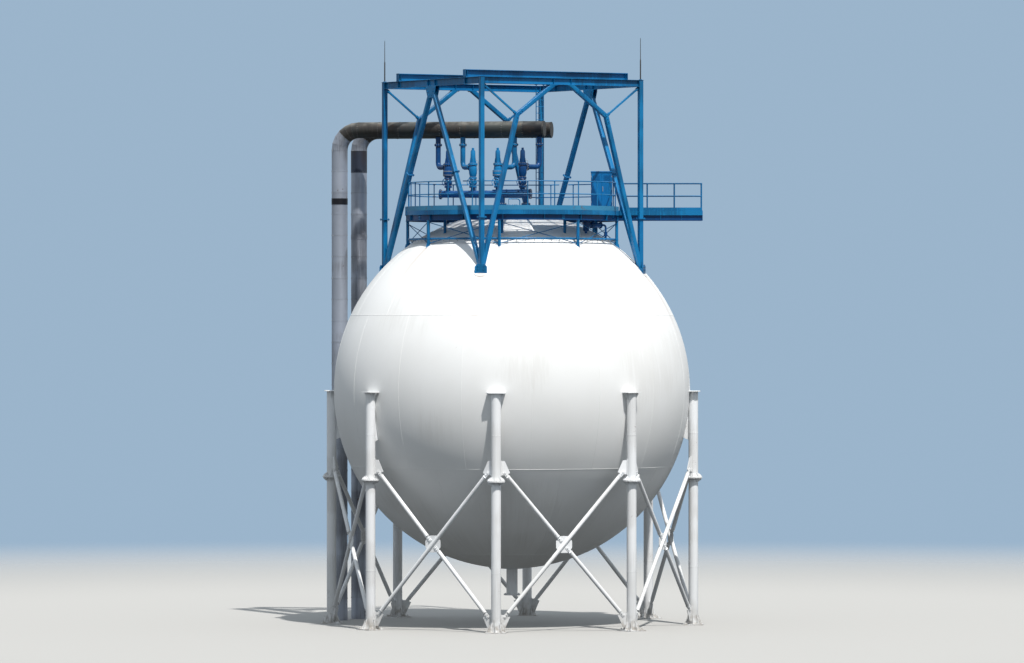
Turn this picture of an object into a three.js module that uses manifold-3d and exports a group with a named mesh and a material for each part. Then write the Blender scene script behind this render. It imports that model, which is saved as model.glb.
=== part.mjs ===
// Spherical gas tank: a steel sphere on eight braced columns, with a round working platform
// and a hoist gantry on its crown, relief valves, two vent headers with risers and a walkway stub.
// Millimetres, +Z up. The origin is on the ground under the centre of the sphere.
// An azimuth of 0 points to the front, along -Y, and 90 degrees points right, along +X.
import * as THREE from "three";
import { mergeVertices } from "three/addons/utils/BufferGeometryUtils.js";
import Module from "manifold-3d";

const wasm = await Module();
wasm.setup();

// Driving dimensions of the sphere and its columns
const sphereRadius = 8000;
const shellWall = 40;
const centreHeight = 10500;
const sphereSegments = 32;
const columnCount = 8;
const columnTurn = -4.9;
const columnCircle = 8160;
const columnRadius = 215;
const columnSides = 16;
const capPlate = { width: 800, depth: 620, thick: 40 };
const spliceFlange = { radius: 400, thick: 70, below: 3850 };
const basePlate = { width: 900, thick: 45 };
const baseGusset = { height: 420, thick: 24 };

// Cross braces between the columns
const braceTube = 90;
const braceSetback = 160;
const braceUpper = centreHeight - 3300;
const braceLower = 480;
const gussetSize = 620;
const gussetThick = 30;

// Hoist gantry, in a frame of its own that is turned so that its faces lie along X and Y
const gantryTurn = 31.9;
const gantryHalf = 4172;
const postSize = 200;
const legSize = 190;
const beamTop = 13900;
const beamDepth = 300;
const beamWidth = 200;
const kneeAlong = 1835;
const kneeHeight = 12250;
const kneeTopAlong = 3710;
const kneeBraceSize = 80;
const runwayInset = 1300;
const runway = { depth: 350, width: 240, flange: 30, web: 24 };
const lightningRod = { radius: 28, top: 15800 };
const hoistLadder = { x: 3284, width: 400, stile: 60, thick: 16, rung: 12, spacing: 300 };
const shoe = { width: 560, height: 240, thick: 30 };

// Working platform round the crown, with heights above the centre of the sphere
const deckRadius = 4800;
const deckSegments = 32;
const deckHole = 1300;
const deckTop = 8100;
const deckPlate = 50;
const toeTop = 8250;
const toePlate = 12;
const ringBeamBottom = 7600;
const ringBeamWidth = 110;
const curbBottom = 7905;
const joistCount = 16;
const joist = { width: 90, depth: 150 };
const platformLeg = { circle: 4730, radius: 70, foot: 6180, count: 8, turn: -1.9 };
const ringPipe = { circle: 4640, radius: 45, height: 6780 };
const railCircle = 4650;
const railTop = 9350;
const railMiddle = 8760;
const railSize = 46;
const railPost = 50;
const railPostSpacing = 1200;
const walkwayGap = [100.9, 114.4];
const railSplit = 274.5;
const railSplitGap = 3.6;
const railLegClearance = 45;

// Control cabinet on the platform
const cabinet = { x: 4020, y: -500, width: 950, depth: 500, height: 1750, legHeight: 150, leg: 60 };

// Walkway stub to the right
const walkway = { front: 900, back: 1900, end: 8600, girder: 80, depth: 450, plate: 40 };
const crossMemberCount = 4;

// Vent headers and risers, in a frame of their own that is turned to lie along X
const headerTurn = -13;
const headerRadius = 360;
const headerSides = 16;
const headerHeight = 11800;
const headerBend = 900;
const headers = [
  { name: "vent_header_front", y: 1803, right: 1083, left: -8472 },
  { name: "vent_header_back", y: 3313, right: 1083, left: -7949 },
];

// Relief valves on the crown manifold, in the frame of the headers
const manifold = { y: 830, height: 8850, radius: 160, left: -3500, right: 650 };
const manifoldNozzles = [-650, 450];
const nozzleRadius = 125;
const nozzleFlange = { low: 8330, high: 8420 };
const valveSeat = 9180;
const valveXs = [-3150, -2000, -850, 300];
const outletShifts = [-700, -700, 550, 550];
const outlet = { radius: 115, height: 10080, bend: 260 };
const manhole = { radius: 330, cover: 420, top: 8320, coverThick: 70 };

// Riser bracket and bottom nozzle
const bracketHeight = -1250;
const bracketBar = 130;
const bracketStrut = 90;
const bracketDrop = 1700;
const collar = { wall: 60, height: 170 };
const bottomNozzle = { radius: 250, flange: 370, flangeThick: 60, end: 1300 };

// The clearance between touching pieces that are cut by each other or turned
const seat = 0.3;

const steel = (color, roughness, metalness) =>
  new THREE.MeshStandardMaterial({ color, roughness, metalness });
const whitePaint = steel(0xe8ebea, 0.5, 0);
const bluePaint = steel(0x1a6fae, 0.45, 0);
const darkBluePaint = steel(0x123f78, 0.45, 0);
const cladding = steel(0x8b8a86, 0.45, 0.8);
const deckBlue = steel(0x1d78ad, 0.6, 0);

const radians = THREE.MathUtils.degToRad;
const vec = (x, y, z) => new THREE.Vector3(x, y, z);

// Turns a closed three.js geometry into a solid that can be joined and cut.
function solid(geometry) {
  const bare = new THREE.BufferGeometry();
  bare.setAttribute("position", geometry.getAttribute("position"));
  bare.setIndex(geometry.index);
  const merged = mergeVertices(bare, 0.01);
  const corners = [];
  for (let i = 0; i < merged.index.count; i += 3) {
    const [a, b, c] = [0, 1, 2].map((k) => merged.index.getX(i + k));
    if (a !== b && b !== c && c !== a) corners.push(a, b, c);
  }
  return new wasm.Manifold(
    new wasm.Mesh({
      numProp: 3,
      vertProperties: new Float32Array(merged.getAttribute("position").array),
      triVerts: new Uint32Array(corners),
    }),
  );
}

const join = (solids) => solids.reduce((all, next) => all.add(next));
const cut = (body, tools) => tools.reduce((rest, tool) => rest.subtract(tool), body);

function geometryOf(body) {
  const mesh = body.getMesh();
  const positions = new Float32Array(mesh.numVert * 3);
  for (let i = 0; i < mesh.numVert; i++) {
    const start = i * mesh.numProp;
    positions.set(mesh.vertProperties.subarray(start, start + 3), i * 3);
  }
  const geometry = new THREE.BufferGeometry();
  geometry.setAttribute("position", new THREE.BufferAttribute(positions, 3));
  geometry.setIndex(new THREE.BufferAttribute(new Uint32Array(mesh.triVerts), 1));
  geometry.computeVertexNormals();
  return geometry;
}

function addPiece(group, name, body, material) {
  const mesh = new THREE.Mesh(geometryOf(body), material);
  mesh.name = name;
  group.add(mesh);
  return mesh;
}

// A box between two opposite corners.
function box(low, high) {
  const size = high.clone().sub(low);
  const geometry = new THREE.BoxGeometry(size.x, size.y, size.z);
  const middle = low.clone().add(high).multiplyScalar(0.5);
  return solid(geometry.translate(middle.x, middle.y, middle.z));
}

// A solid of revolution about the vertical axis. The profile is a closed loop of [radius, height].
function revolve(profile, segments, turn = 0) {
  const points = profile.map(([radius, height]) => new THREE.Vector2(radius, height));
  if (THREE.ShapeUtils.area(points) < 0) points.reverse();
  points.push(points[0].clone());
  const geometry = new THREE.LatheGeometry(points, segments, radians(turn));
  return solid(geometry.rotateX(Math.PI / 2));
}

// An upright round bar or disc.
function disc(x, y, low, high, radius, sides = columnSides) {
  const geometry = new THREE.CylinderGeometry(radius, radius, high - low, sides);
  geometry.rotateX(Math.PI / 2).translate(x, y, (low + high) / 2);
  return solid(geometry);
}

const rectangle = (width, depth) =>
  new THREE.Shape([
    new THREE.Vector2(-width / 2, -depth / 2),
    new THREE.Vector2(width / 2, -depth / 2),
    new THREE.Vector2(width / 2, depth / 2),
    new THREE.Vector2(-width / 2, depth / 2),
  ]);

function polygon(radius, sides) {
  const corners = [];
  for (let i = 0; i < sides; i++) {
    const angle = (2 * Math.PI * (i + 0.5)) / sides;
    corners.push(new THREE.Vector2(radius * Math.cos(angle), radius * Math.sin(angle)));
  }
  return new THREE.Shape(corners);
}

function iSection({ width, depth, flange, web }) {
  const [w, d, t] = [width / 2, depth / 2, web / 2];
  const inner = d - flange;
  const half = [[t, inner], [w, inner], [w, d], [-w, d], [-w, inner], [-t, inner]];
  const loop = [...half, ...half.map(([x, y]) => [-x, -y])];
  return new THREE.Shape(loop.map(([x, y]) => new THREE.Vector2(x, y)));
}

// A straight member of the given section from one point to another. The section's height
// follows the hint direction as nearly as it can.
function member(from, to, section, hint = vec(0, 0, 1)) {
  const along = to.clone().sub(from);
  const geometry = new THREE.ExtrudeGeometry(section, { depth: along.length(), bevelEnabled: false });
  const zAxis = along.normalize();
  const xAxis = hint.clone().cross(zAxis).normalize();
  const yAxis = zAxis.clone().cross(xAxis);
  const place = new THREE.Matrix4().makeBasis(xAxis, yAxis, zAxis).setPosition(from);
  return solid(geometry.applyMatrix4(place));
}

// A path through given points, so that a section is swept through each of them.
class PointPath extends THREE.Curve {
  constructor(points) {
    super();
    this.points = points;
  }
  getPoint(t, target = new THREE.Vector3()) {
    const scaled = t * (this.points.length - 1);
    const index = Math.min(Math.floor(scaled + 1e-9), this.points.length - 2);
    return target.lerpVectors(this.points[index], this.points[index + 1], scaled - index);
  }
  getPointAt(u, target) {
    return this.getPoint(u, target);
  }
  getTangentAt(u) {
    const last = this.points.length - 1;
    const index = Math.round(u * last);
    const before = this.points[Math.max(index - 1, 0)];
    const here = this.points[index];
    const after = this.points[Math.min(index + 1, last)];
    const arriving = here.clone().sub(before).normalize();
    return after.clone().sub(here).normalize().add(arriving).normalize();
  }
}

function tube(points, radius, sides) {
  const path = new PointPath(points);
  const section = polygon(radius, sides);
  const settings = { steps: points.length - 1, extrudePath: path, bevelEnabled: false };
  return solid(new THREE.ExtrudeGeometry(section, settings));
}

// The points of a path whose corners are rounded to the given radius.
function roundedPath(corners, radius, steps = 6) {
  const points = [corners[0]];
  for (let i = 1; i < corners.length - 1; i++) {
    const towardsLast = corners[i - 1].clone().sub(corners[i]).normalize();
    const towardsNext = corners[i + 1].clone().sub(corners[i]).normalize();
    const half = towardsLast.angleTo(towardsNext) / 2;
    const setback = radius / Math.tan(half);
    const bisector = towardsLast.clone().add(towardsNext).normalize();
    const centre = corners[i].clone().addScaledVector(bisector, radius / Math.sin(half));
    const start = corners[i].clone().addScaledVector(towardsLast, setback).sub(centre);
    const end = corners[i].clone().addScaledVector(towardsNext, setback).sub(centre);
    const axis = start.clone().cross(end).normalize();
    const sweep = start.angleTo(end);
    for (let k = 0; k <= steps; k++) {
      points.push(start.clone().applyAxisAngle(axis, (sweep * k) / steps).add(centre));
    }
  }
  points.push(corners.at(-1));
  return points;
}

const tank = new THREE.Group();
tank.name = "spherical_gas_tank";

// The zones of the shell by polar angle from the crown, with the rows of plates in each.
const zones = [
  { name: "crown_cap", from: 0, to: 25, rows: 2 },
  { name: "upper_zone", from: 25, to: 65, rows: 4 },
  { name: "equator_zone", from: 65, to: 115, rows: 4 },
  { name: "lower_zone", from: 115, to: 155, rows: 4 },
  { name: "bottom_cap", from: 155, to: 180, rows: 2 },
];

function arcPoints({ from, to, rows }, radius, seam = 0) {
  const points = [];
  for (let i = 0; i <= rows; i++) {
    const lift = i === 0 && from > 0 ? seam / sphereRadius : 0;
    const polar = radians(from + ((to - from) * i) / rows) + lift;
    points.push([radius * Math.sin(polar), radius * Math.cos(polar)]);
  }
  return points;
}

// The whole ball, a clearance larger than the sphere, in a frame turned by the given angle.
// It shapes the ends of whatever stands against the sphere.
function ball(frameTurn, centre = 0) {
  const profile = zones.flatMap((zone) => arcPoints(zone, sphereRadius + seat));
  const raised = profile.map(([radius, height]) => [radius, height + centre]);
  return revolve(raised, sphereSegments, columnTurn - frameTurn);
}

function makeShell(vessel) {
  for (const zone of zones) {
    const outer = arcPoints(zone, sphereRadius, seat);
    const inner = arcPoints(zone, sphereRadius - shellWall, seat);
    let body = revolve([...outer, ...inner.reverse()], sphereSegments, columnTurn);
    if (zone.name === "crown_cap") body = join([body, manholeNeck()]);
    addPiece(vessel, zone.name, body, whitePaint);
  }
}

// The manhole stands on the crown, a little in front of the manifold.
function manholeNeck() {
  const [x, y] = [-150, -560];
  const foot = sphereRadius - 1.5 * shellWall;
  const neck = disc(x, y, foot, manhole.top, manhole.radius);
  const cover = disc(x, y, manhole.top - manhole.coverThick, manhole.top, manhole.cover);
  return join([neck, cover]);
}

function columnSolid() {
  const y = -columnCircle;
  const pipe = disc(0, y, basePlate.thick, centreHeight - capPlate.thick, columnRadius);
  const capFront = y - columnRadius - 90;
  const cap = box(
    vec(-capPlate.width / 2, capFront, centreHeight - capPlate.thick),
    vec(capPlate.width / 2, capFront + capPlate.depth, centreHeight),
  );
  const flangeTop = centreHeight - spliceFlange.below;
  const flange = disc(0, y, flangeTop - spliceFlange.thick, flangeTop, spliceFlange.radius);
  const half = basePlate.width / 2;
  const plate = box(vec(-half, y - half, 0), vec(half, y + half, basePlate.thick));
  const body = join([pipe, cap, flange, plate, ...baseGussets(y)]);
  return cut(body, [ball(columnTurn, centreHeight)]);
}

// Two crossed upright plates that stiffen the foot of a column.
function baseGussets(y) {
  const reach = basePlate.width / 2 - 60;
  const half = [[reach, 0], [reach, 60], [columnRadius - 20, baseGusset.height]];
  const outline = new THREE.Shape([
    ...half.map(([x, z]) => new THREE.Vector2(x, z)),
    ...half.reverse().map(([x, z]) => new THREE.Vector2(-x, z)),
  ]);
  return [0, Math.PI / 2].map((turn) => {
    const plate = new THREE.ExtrudeGeometry(outline, { depth: baseGusset.thick, bevelEnabled: false });
    plate.translate(0, 0, -baseGusset.thick / 2).rotateX(Math.PI / 2).rotateZ(turn);
    return solid(plate.translate(0, y, basePlate.thick));
  });
}

function makeColumns() {
  const body = columnSolid();
  for (let i = 0; i < columnCount; i++) {
    const column = addPiece(tank, `column_${i + 1}`, body, whitePaint);
    column.rotation.z = radians(columnTurn + (360 / columnCount) * i);
  }
}

// A plate that joins a brace to a column. Its straight edge lies along the column's side.
function braceGusset(side, height, lean) {
  const edge = columnRadius + seat;
  const outline = new THREE.Shape([
    new THREE.Vector2(edge, -gussetSize / 2),
    new THREE.Vector2(edge + 0.3 * gussetSize, -gussetSize / 2),
    new THREE.Vector2(edge + 0.7 * gussetSize, lean * gussetSize),
    new THREE.Vector2(edge + 0.3 * gussetSize, gussetSize / 2),
    new THREE.Vector2(edge, gussetSize / 2),
  ]);
  const plate = new THREE.ExtrudeGeometry(outline, { depth: gussetThick, bevelEnabled: false });
  plate.translate(0, 0, -gussetThick / 2).rotateX(Math.PI / 2);
  if (side > 0) plate.rotateZ(Math.PI);
  return solid(plate.translate(side * bay.half, bay.plane, height));
}

// The bay between two columns: half its width, and the plane that it lies in.
const bay = {
  half: columnCircle * Math.sin(Math.PI / columnCount),
  plane: -columnCircle * Math.cos(Math.PI / columnCount),
};

function braceSolid() {
  const section = polygon(braceTube, 6);
  const reach = bay.half - columnRadius;
  const rise = ((braceUpper - braceLower) / (2 * reach)) * braceSetback;
  const end = reach - braceSetback;
  const rods = [-1, 1].map((side) =>
    member(
      vec(side * end, bay.plane, braceLower + rise),
      vec(-side * end, bay.plane, braceUpper - rise),
      section,
      vec(0, 1, 0),
    ),
  );
  const plates = [-1, 1].flatMap((side) => [
    braceGusset(side, braceLower, 0.35),
    braceGusset(side, braceUpper, -0.35),
  ]);
  return join([...rods, ...plates]);
}

function makeBraces() {
  const body = braceSolid();
  for (let i = 0; i < columnCount; i++) {
    const brace = addPiece(tank, `cross_brace_${i + 1}`, body, whitePaint);
    brace.rotation.z = radians(columnTurn + (360 / columnCount) * (i + 0.5));
  }
}

// The height at which the axis of a gantry post meets the sphere, above its centre.
const footHeight = Math.sqrt(sphereRadius ** 2 - 2 * gantryHalf ** 2);

const gantryCorners = [
  { name: "front", x: -1, y: -1, rod: false },
  { name: "right", x: 1, y: -1, rod: true },
  { name: "back", x: 1, y: 1, rod: false },
  { name: "left", x: -1, y: 1, rod: true },
];

function makePosts(gantry) {
  for (const corner of gantryCorners) {
    const [x, y] = [corner.x * gantryHalf, corner.y * gantryHalf];
    const half = postSize / 2;
    const parts = [box(vec(x - half, y - half, footHeight - 400), vec(x + half, y + half, beamTop))];
    // Stiffener plates and a pad spread the foot of the post over the shell, on its outer side.
    parts.push(outerShoe(corner));
    if (corner.rod) parts.push(disc(x, y, beamTop, lightningRod.top, lightningRod.radius, 8));
    const body = cut(join(parts), [ball(gantryTurn)]);
    addPiece(gantry, `gantry_post_${corner.name}`, body, bluePaint);
  }
}

// The shoe is a plate on the outer side of the post, square to the radius through it.
function outerShoe(corner) {
  const plate = new THREE.BoxGeometry(shoe.width, shoe.thick, 900);
  plate.translate(0, -postSize / 2 - 60, footHeight + shoe.height - 450);
  const web = new THREE.BoxGeometry(shoe.thick, 160, 900);
  web.translate(0, -postSize / 2 + 20, footHeight + shoe.height - 450);
  const azimuth = Math.atan2(corner.x, -corner.y);
  return join(
    [plate, web].map((geometry) =>
      solid(geometry.rotateZ(azimuth).translate(corner.x * gantryHalf, corner.y * gantryHalf, 0)),
    ),
  );
}

// The legs of both A-frames as square bars of the given size, in a frame turned back by an angle.
function aFrameLegs(size, turn = 0) {
  const spin = (point) => point.applyAxisAngle(vec(0, 0, 1), radians(turn));
  const apex = beamTop - beamDepth;
  return [-1, 1].flatMap((side) =>
    [-1, 1].map((end) => {
      const from = spin(vec(side * gantryHalf, end * gantryHalf, footHeight - 60));
      const to = spin(vec(side * gantryHalf, -end * 120, apex + 200));
      return member(from, to, rectangle(size, size), spin(vec(1, 0, 0)));
    }),
  );
}

// The two A-frames stand in the left and right faces of the gantry's own frame.
function makeAFrames(gantry) {
  const apex = beamTop - beamDepth;
  const edge = gantryHalf - postSize / 2 - seat;
  const allLegs = aFrameLegs(legSize);
  for (const [name, side] of [["a_frame_front_left", -1], ["a_frame_back_right", 1]]) {
    const x = side * gantryHalf;
    const legs = side < 0 ? allLegs.slice(0, 2) : allLegs.slice(2);
    const apexPlate = box(
      vec(x - 20, -420, apex - 520),
      vec(x + 20, 420, apex),
    );
    const trims = [
      box(vec(x - 500, edge, 0), vec(x + 500, edge + 1500, 16000)),
      box(vec(x - 500, -edge - 1500, 0), vec(x + 500, -edge, 16000)),
      box(vec(x - 500, -2000, apex - seat), vec(x + 500, 2000, 16000)),
      ball(gantryTurn),
    ];
    addPiece(gantry, name, cut(join([...legs, apexPlate]), trims), bluePaint);
  }
}

// A kneed leg rises from a post's foot, bends at the knee towards the middle of the top beam,
// and a thin brace ties the knee to the corner above.
function kneeLegSolid(corner) {
  const y = corner.y * gantryHalf;
  const at = (along, height) => vec(corner.x * (gantryHalf - along), y, height);
  const section = rectangle(legSize, legSize);
  const sideways = vec(0, 1, 0);
  const roof = beamTop - beamDepth - seat;
  const knee = at(kneeAlong, kneeHeight);
  const beyondTop = at(kneeTopAlong + 260, beamTop - beamDepth + 187);
  const beyondKnee = knee.clone().addScaledVector(at(kneeAlong, kneeHeight).sub(at(0, footHeight)).normalize(), 60);
  const parts = [
    member(at(-16, footHeight - 60), beyondKnee, section, sideways),
    member(knee, beyondTop, section, sideways),
    member(knee, at(60, roof - 20), rectangle(kneeBraceSize, kneeBraceSize), sideways),
  ];
  const edge = gantryHalf - postSize / 2 - seat;
  const outside = corner.x * (edge + 1500);
  const xs = [corner.x * edge, outside].sort((a, b) => a - b);
  const trims = [
    box(vec(xs[0], y - 500, 0), vec(xs[1], y + 500, 16000)),
    box(vec(-gantryHalf, y - 500, roof), vec(gantryHalf, y + 500, 16000)),
    ball(gantryTurn),
  ];
  return cut(join(parts), trims);
}

function makeKneeLegs(gantry) {
  gantryCorners.forEach((corner, i) => {
    addPiece(gantry, `knee_leg_${i + 1}`, kneeLegSolid(corner), bluePaint);
  });
}

function makeTopFrame(gantry) {
  const inside = gantryHalf - postSize / 2 - seat;
  const [w, low] = [beamWidth / 2, beamTop - beamDepth];
  for (const [name, side] of [["top_beam_front_right", -1], ["top_beam_back_left", 1]]) {
    const y = side * gantryHalf;
    const body = box(vec(-inside, y - w, low), vec(inside, y + w, beamTop));
    addPiece(gantry, name, body, bluePaint);
  }
  for (const [name, side] of [["top_beam_front_left", -1], ["top_beam_back_right", 1]]) {
    const x = side * gantryHalf;
    const body = box(vec(x - w, -inside, low), vec(x + w, inside, beamTop));
    addPiece(gantry, name, body, bluePaint);
  }
  const middle = beamTop + seat + runway.depth / 2;
  const reach = gantryHalf + beamWidth / 2;
  for (const [name, side] of [["runway_beam_front", -1], ["runway_beam_back", 1]]) {
    const y = side * (gantryHalf - runwayInset);
    const body = member(vec(-reach, y, middle), vec(reach, y, middle), iSection(runway));
    addPiece(gantry, name, body, bluePaint);
  }
}

// A ladder from the deck to the back runway beam.
function makeHoistLadder(gantry) {
  const { x, width, stile, thick, rung, spacing } = hoistLadder;
  const y = gantryHalf - runwayInset;
  const [low, high] = [deckTop + seat, beamTop];
  const parts = [-1, 1].map((side) => {
    const middle = x + (side * width) / 2;
    return box(
      vec(middle - thick / 2, y - stile / 2, low),
      vec(middle + thick / 2, y + stile / 2, high),
    );
  });
  for (let height = low + spacing; height < high - spacing / 2; height += spacing) {
    const bar = [vec(x - width / 2, y, height), vec(x + width / 2, y, height)];
    parts.push(tube(bar, rung, 6));
  }
  addPiece(gantry, "hoist_ladder", join(parts), bluePaint);
}

function makePlatform(platform) {
  const deckLow = deckTop - deckPlate;
  const toeInner = deckRadius - toePlate;
  const plate = revolve(
    [
      [deckHole, deckLow],
      [deckRadius, deckLow],
      [deckRadius, toeTop],
      [toeInner, toeTop],
      [toeInner, deckTop],
      [deckHole, deckTop],
    ],
    deckSegments,
  );
  // The toe plate is open where the walkway meets the deck.
  const passage = new THREE.BoxGeometry(900, walkway.back - walkway.front - 120, 400);
  passage.translate(deckRadius, (walkway.back + walkway.front) / 2, deckTop + 200);
  passage.rotateZ(-radians(columnTurn));
  addPiece(platform, "platform_deck", cut(plate, [solid(passage)]), deckBlue);
  addPiece(platform, "platform_frame", platformFrame(deckLow), bluePaint);
}

function platformFrame(deckLow) {
  const band = (inner, outer, low, high, segments = deckSegments) =>
    revolve([[inner, low], [outer, low], [outer, high], [inner, high]], segments);
  const parts = [
    band(deckRadius - ringBeamWidth, deckRadius, ringBeamBottom, deckLow),
    band(deckHole, deckHole + 60, curbBottom, deckLow, joistCount),
    band(ringPipe.circle - ringPipe.radius, ringPipe.circle + ringPipe.radius,
      ringPipe.height - ringPipe.radius, ringPipe.height + ringPipe.radius),
  ];
  for (let i = 0; i < joistCount; i++) {
    const bar = new THREE.BoxGeometry(joist.width, deckRadius - 60 - deckHole - 30, joist.depth);
    bar.translate(0, -(deckRadius - 60 + deckHole + 30) / 2, deckLow - joist.depth / 2);
    parts.push(solid(bar.rotateZ(radians((360 / joistCount) * i))));
  }
  for (let i = 0; i < platformLeg.count; i++) {
    const azimuth = platformLeg.turn + (360 / platformLeg.count) * i;
    const { x, y } = onCircle(platformLeg.circle, azimuth, 0);
    parts.push(disc(x, y, platformLeg.foot, deckLow - joist.depth / 2, platformLeg.radius, 8));
  }
  return cut(join(parts), [ball(columnTurn)]);
}

const onCircle = (radius, azimuth, height) =>
  vec(radius * Math.sin(radians(azimuth)), -radius * Math.cos(radians(azimuth)), height);

function railArc(start, end) {
  const length = radians(end - start) * railCircle;
  const bays = Math.round(length / railPostSpacing);
  const azimuths = Array.from({ length: bays + 1 }, (_, i) => start + ((end - start) * i) / bays);
  const rails = [railTop - railSize / 2, railMiddle].map((height) =>
    tube(azimuths.map((azimuth) => onCircle(railCircle, azimuth, height)), railSize * Math.SQRT1_2, 4),
  );
  const posts = azimuths.map((azimuth) => {
    const height = railTop - railSize / 2 - deckTop;
    const post = new THREE.BoxGeometry(railPost, railPost, height);
    post.translate(0, -railCircle, deckTop + height / 2);
    return solid(post.rotateZ(radians(azimuth)));
  });
  return join([...rails, ...posts]);
}

// The top rail stops short of each A-frame leg, which leans in over it.
function makePlatformRails(vessel) {
  const tools = aFrameLegs(legSize + 2 * railLegClearance, gantryTurn);
  const back = railArc(walkwayGap[1], railSplit - railSplitGap / 2);
  const front = railArc(railSplit + railSplitGap / 2, 360 + walkwayGap[0]);
  addPiece(vessel, "platform_rail_back", cut(back, tools), bluePaint);
  addPiece(vessel, "platform_rail_front", cut(front, tools), bluePaint);
}

function makeCabinet(vessel) {
  const { x, y, width, depth, height, legHeight, leg } = cabinet;
  const low = deckTop + legHeight;
  const parts = [
    box(vec(x - width / 2, y - depth / 2, low), vec(x + width / 2, y + depth / 2, deckTop + height)),
  ];
  for (const side of [-1, 1]) {
    for (const end of [-1, 1]) {
      const [cx, cy] = [x + side * (width / 2 - leg), y + end * (depth / 2 - leg)];
      parts.push(box(vec(cx - leg / 2, cy - leg / 2, deckTop), vec(cx + leg / 2, cy + leg / 2, low + 20)));
    }
  }
  addPiece(vessel, "control_cabinet", join(parts), bluePaint);
}

function makeWalkway(vessel) {
  const { front, back, end, girder, depth, plate } = walkway;
  const start = deckRadius - 600;
  const low = deckTop - depth;
  const parts = [
    box(vec(start, front, deckTop - plate), vec(end, back, deckTop)),
    box(vec(start, front, low), vec(end, front + girder, deckTop)),
    box(vec(start, back - girder, low), vec(end, back, deckTop)),
    box(vec(end - 30, front, low), vec(end, back, deckTop)),
  ];
  for (let i = 0; i < crossMemberCount; i++) {
    const x = deckRadius + 150 + ((end - deckRadius - 300) * i) / (crossMemberCount - 0.6);
    parts.push(box(vec(x - 40, front, deckTop - 220), vec(x + 40, back, deckTop)));
  }
  const round = revolve(
    [[0, low - 200], [deckRadius + seat, low - 200], [deckRadius + seat, toeTop], [0, toeTop]],
    deckSegments,
    columnTurn,
  );
  addPiece(vessel, "walkway_span", cut(join(parts), [round]), deckBlue);
  addPiece(vessel, "walkway_rail_front", walkwayRail(front + railPost), bluePaint);
  addPiece(vessel, "walkway_rail_back", walkwayRail(back - railPost), bluePaint);
}

function walkwayRail(y) {
  const start = deckRadius + 60;
  const end = walkway.end - railPost / 2;
  const bays = 3;
  const half = railPost / 2;
  const parts = [railTop - railSize / 2, railMiddle].map((height) =>
    box(vec(start, y - railSize / 2, height - railSize / 2), vec(end, y + railSize / 2, height + railSize / 2)),
  );
  for (let i = 0; i <= bays; i++) {
    const x = start + half + ((end - start - railPost) * i) / bays;
    parts.push(box(vec(x - half, y - half, deckTop), vec(x + half, y + half, railTop - railSize / 2)));
  }
  return join(parts);
}

function headerPath({ y, left, right }) {
  return roundedPath(
    [vec(right, y, headerHeight), vec(left, y, headerHeight), vec(left, y, -centreHeight)],
    headerBend,
  );
}

function makeHeaders(piping) {
  for (const header of headers) {
    addPiece(piping, header.name, tube(headerPath(header), headerRadius, headerSides), cladding);
  }
}

function makeManifold(piping) {
  const { y, height, radius, left, right } = manifold;
  const parts = [
    tube([vec(left, y, height), vec(right, y, height)], radius, 10),
    tube([vec(left - 60, y, height), vec(left, y, height)], radius + 70, 10),
    tube([vec(right, y, height), vec(right + 60, y, height)], radius + 70, 10),
  ];
  for (const x of manifoldNozzles) {
    parts.push(disc(x, y, sphereRadius - 300, height, nozzleRadius, 8));
    parts.push(disc(x, y, nozzleFlange.low, nozzleFlange.high, nozzleRadius + 80, 8));
  }
  for (const x of valveXs) {
    parts.push(disc(x, y, height, valveSeat, 100, 8));
    parts.push(disc(x, y, valveSeat - 45, valveSeat, 170, 8));
  }
  addPiece(piping, "crown_manifold", cut(join(parts), [ball(headerTurn)]), darkBluePaint);
}

// A relief valve on its isolating valve, with the outlet pipe that rises to the front header.
function reliefValveSolid(x, shift) {
  const { y } = manifold;
  const stem = [
    [0, 0],
    [170, 0],
    [170, 50],
    [190, 200],
    [150, 350],
    [185, 460],
    [185, 960],
    [205, 980],
    [205, 1060],
    [120, 1090],
    [110, 1640],
    [55, 1690],
    [55, 1760],
    [0, 1760],
  ].map(([radius, rise]) => [radius, valveSeat + rise]);
  const points = stem.map(([radius, height]) => new THREE.Vector2(radius, height));
  const geometry = new THREE.LatheGeometry(points, 8).rotateX(Math.PI / 2).translate(x, y, 0);
  const header = headers[0];
  const riserX = x + shift;
  const path = roundedPath(
    [
      vec(x, y, outlet.height),
      vec(riserX, header.y, outlet.height),
      vec(riserX, header.y, headerHeight),
    ],
    outlet.bend,
    3,
  );
  // The isolating valve's handwheel stands in front of it on a short spindle.
  const wheelHeight = valveSeat + 200;
  const spindle = tube([vec(x, y, wheelHeight), vec(x, y - 420, wheelHeight)], 35, 6);
  const wheel = tube([vec(x, y - 400, wheelHeight), vec(x, y - 430, wheelHeight)], 190, 10);
  const body = join([solid(geometry), tube(path, outlet.radius, 8), spindle, wheel]);
  const tool = tube(headerPath(header), headerRadius + seat, headerSides);
  const above = box(
    vec(riserX - 400, header.y - 400, headerHeight),
    vec(riserX + 400, header.y + 400, headerHeight + 800),
  );
  return cut(body, [tool, above]);
}

function makeReliefValves(piping) {
  valveXs.forEach((x, i) => {
    addPiece(piping, `relief_valve_${i + 1}`, reliefValveSolid(x, outletShifts[i]), darkBluePaint);
  });
}

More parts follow.
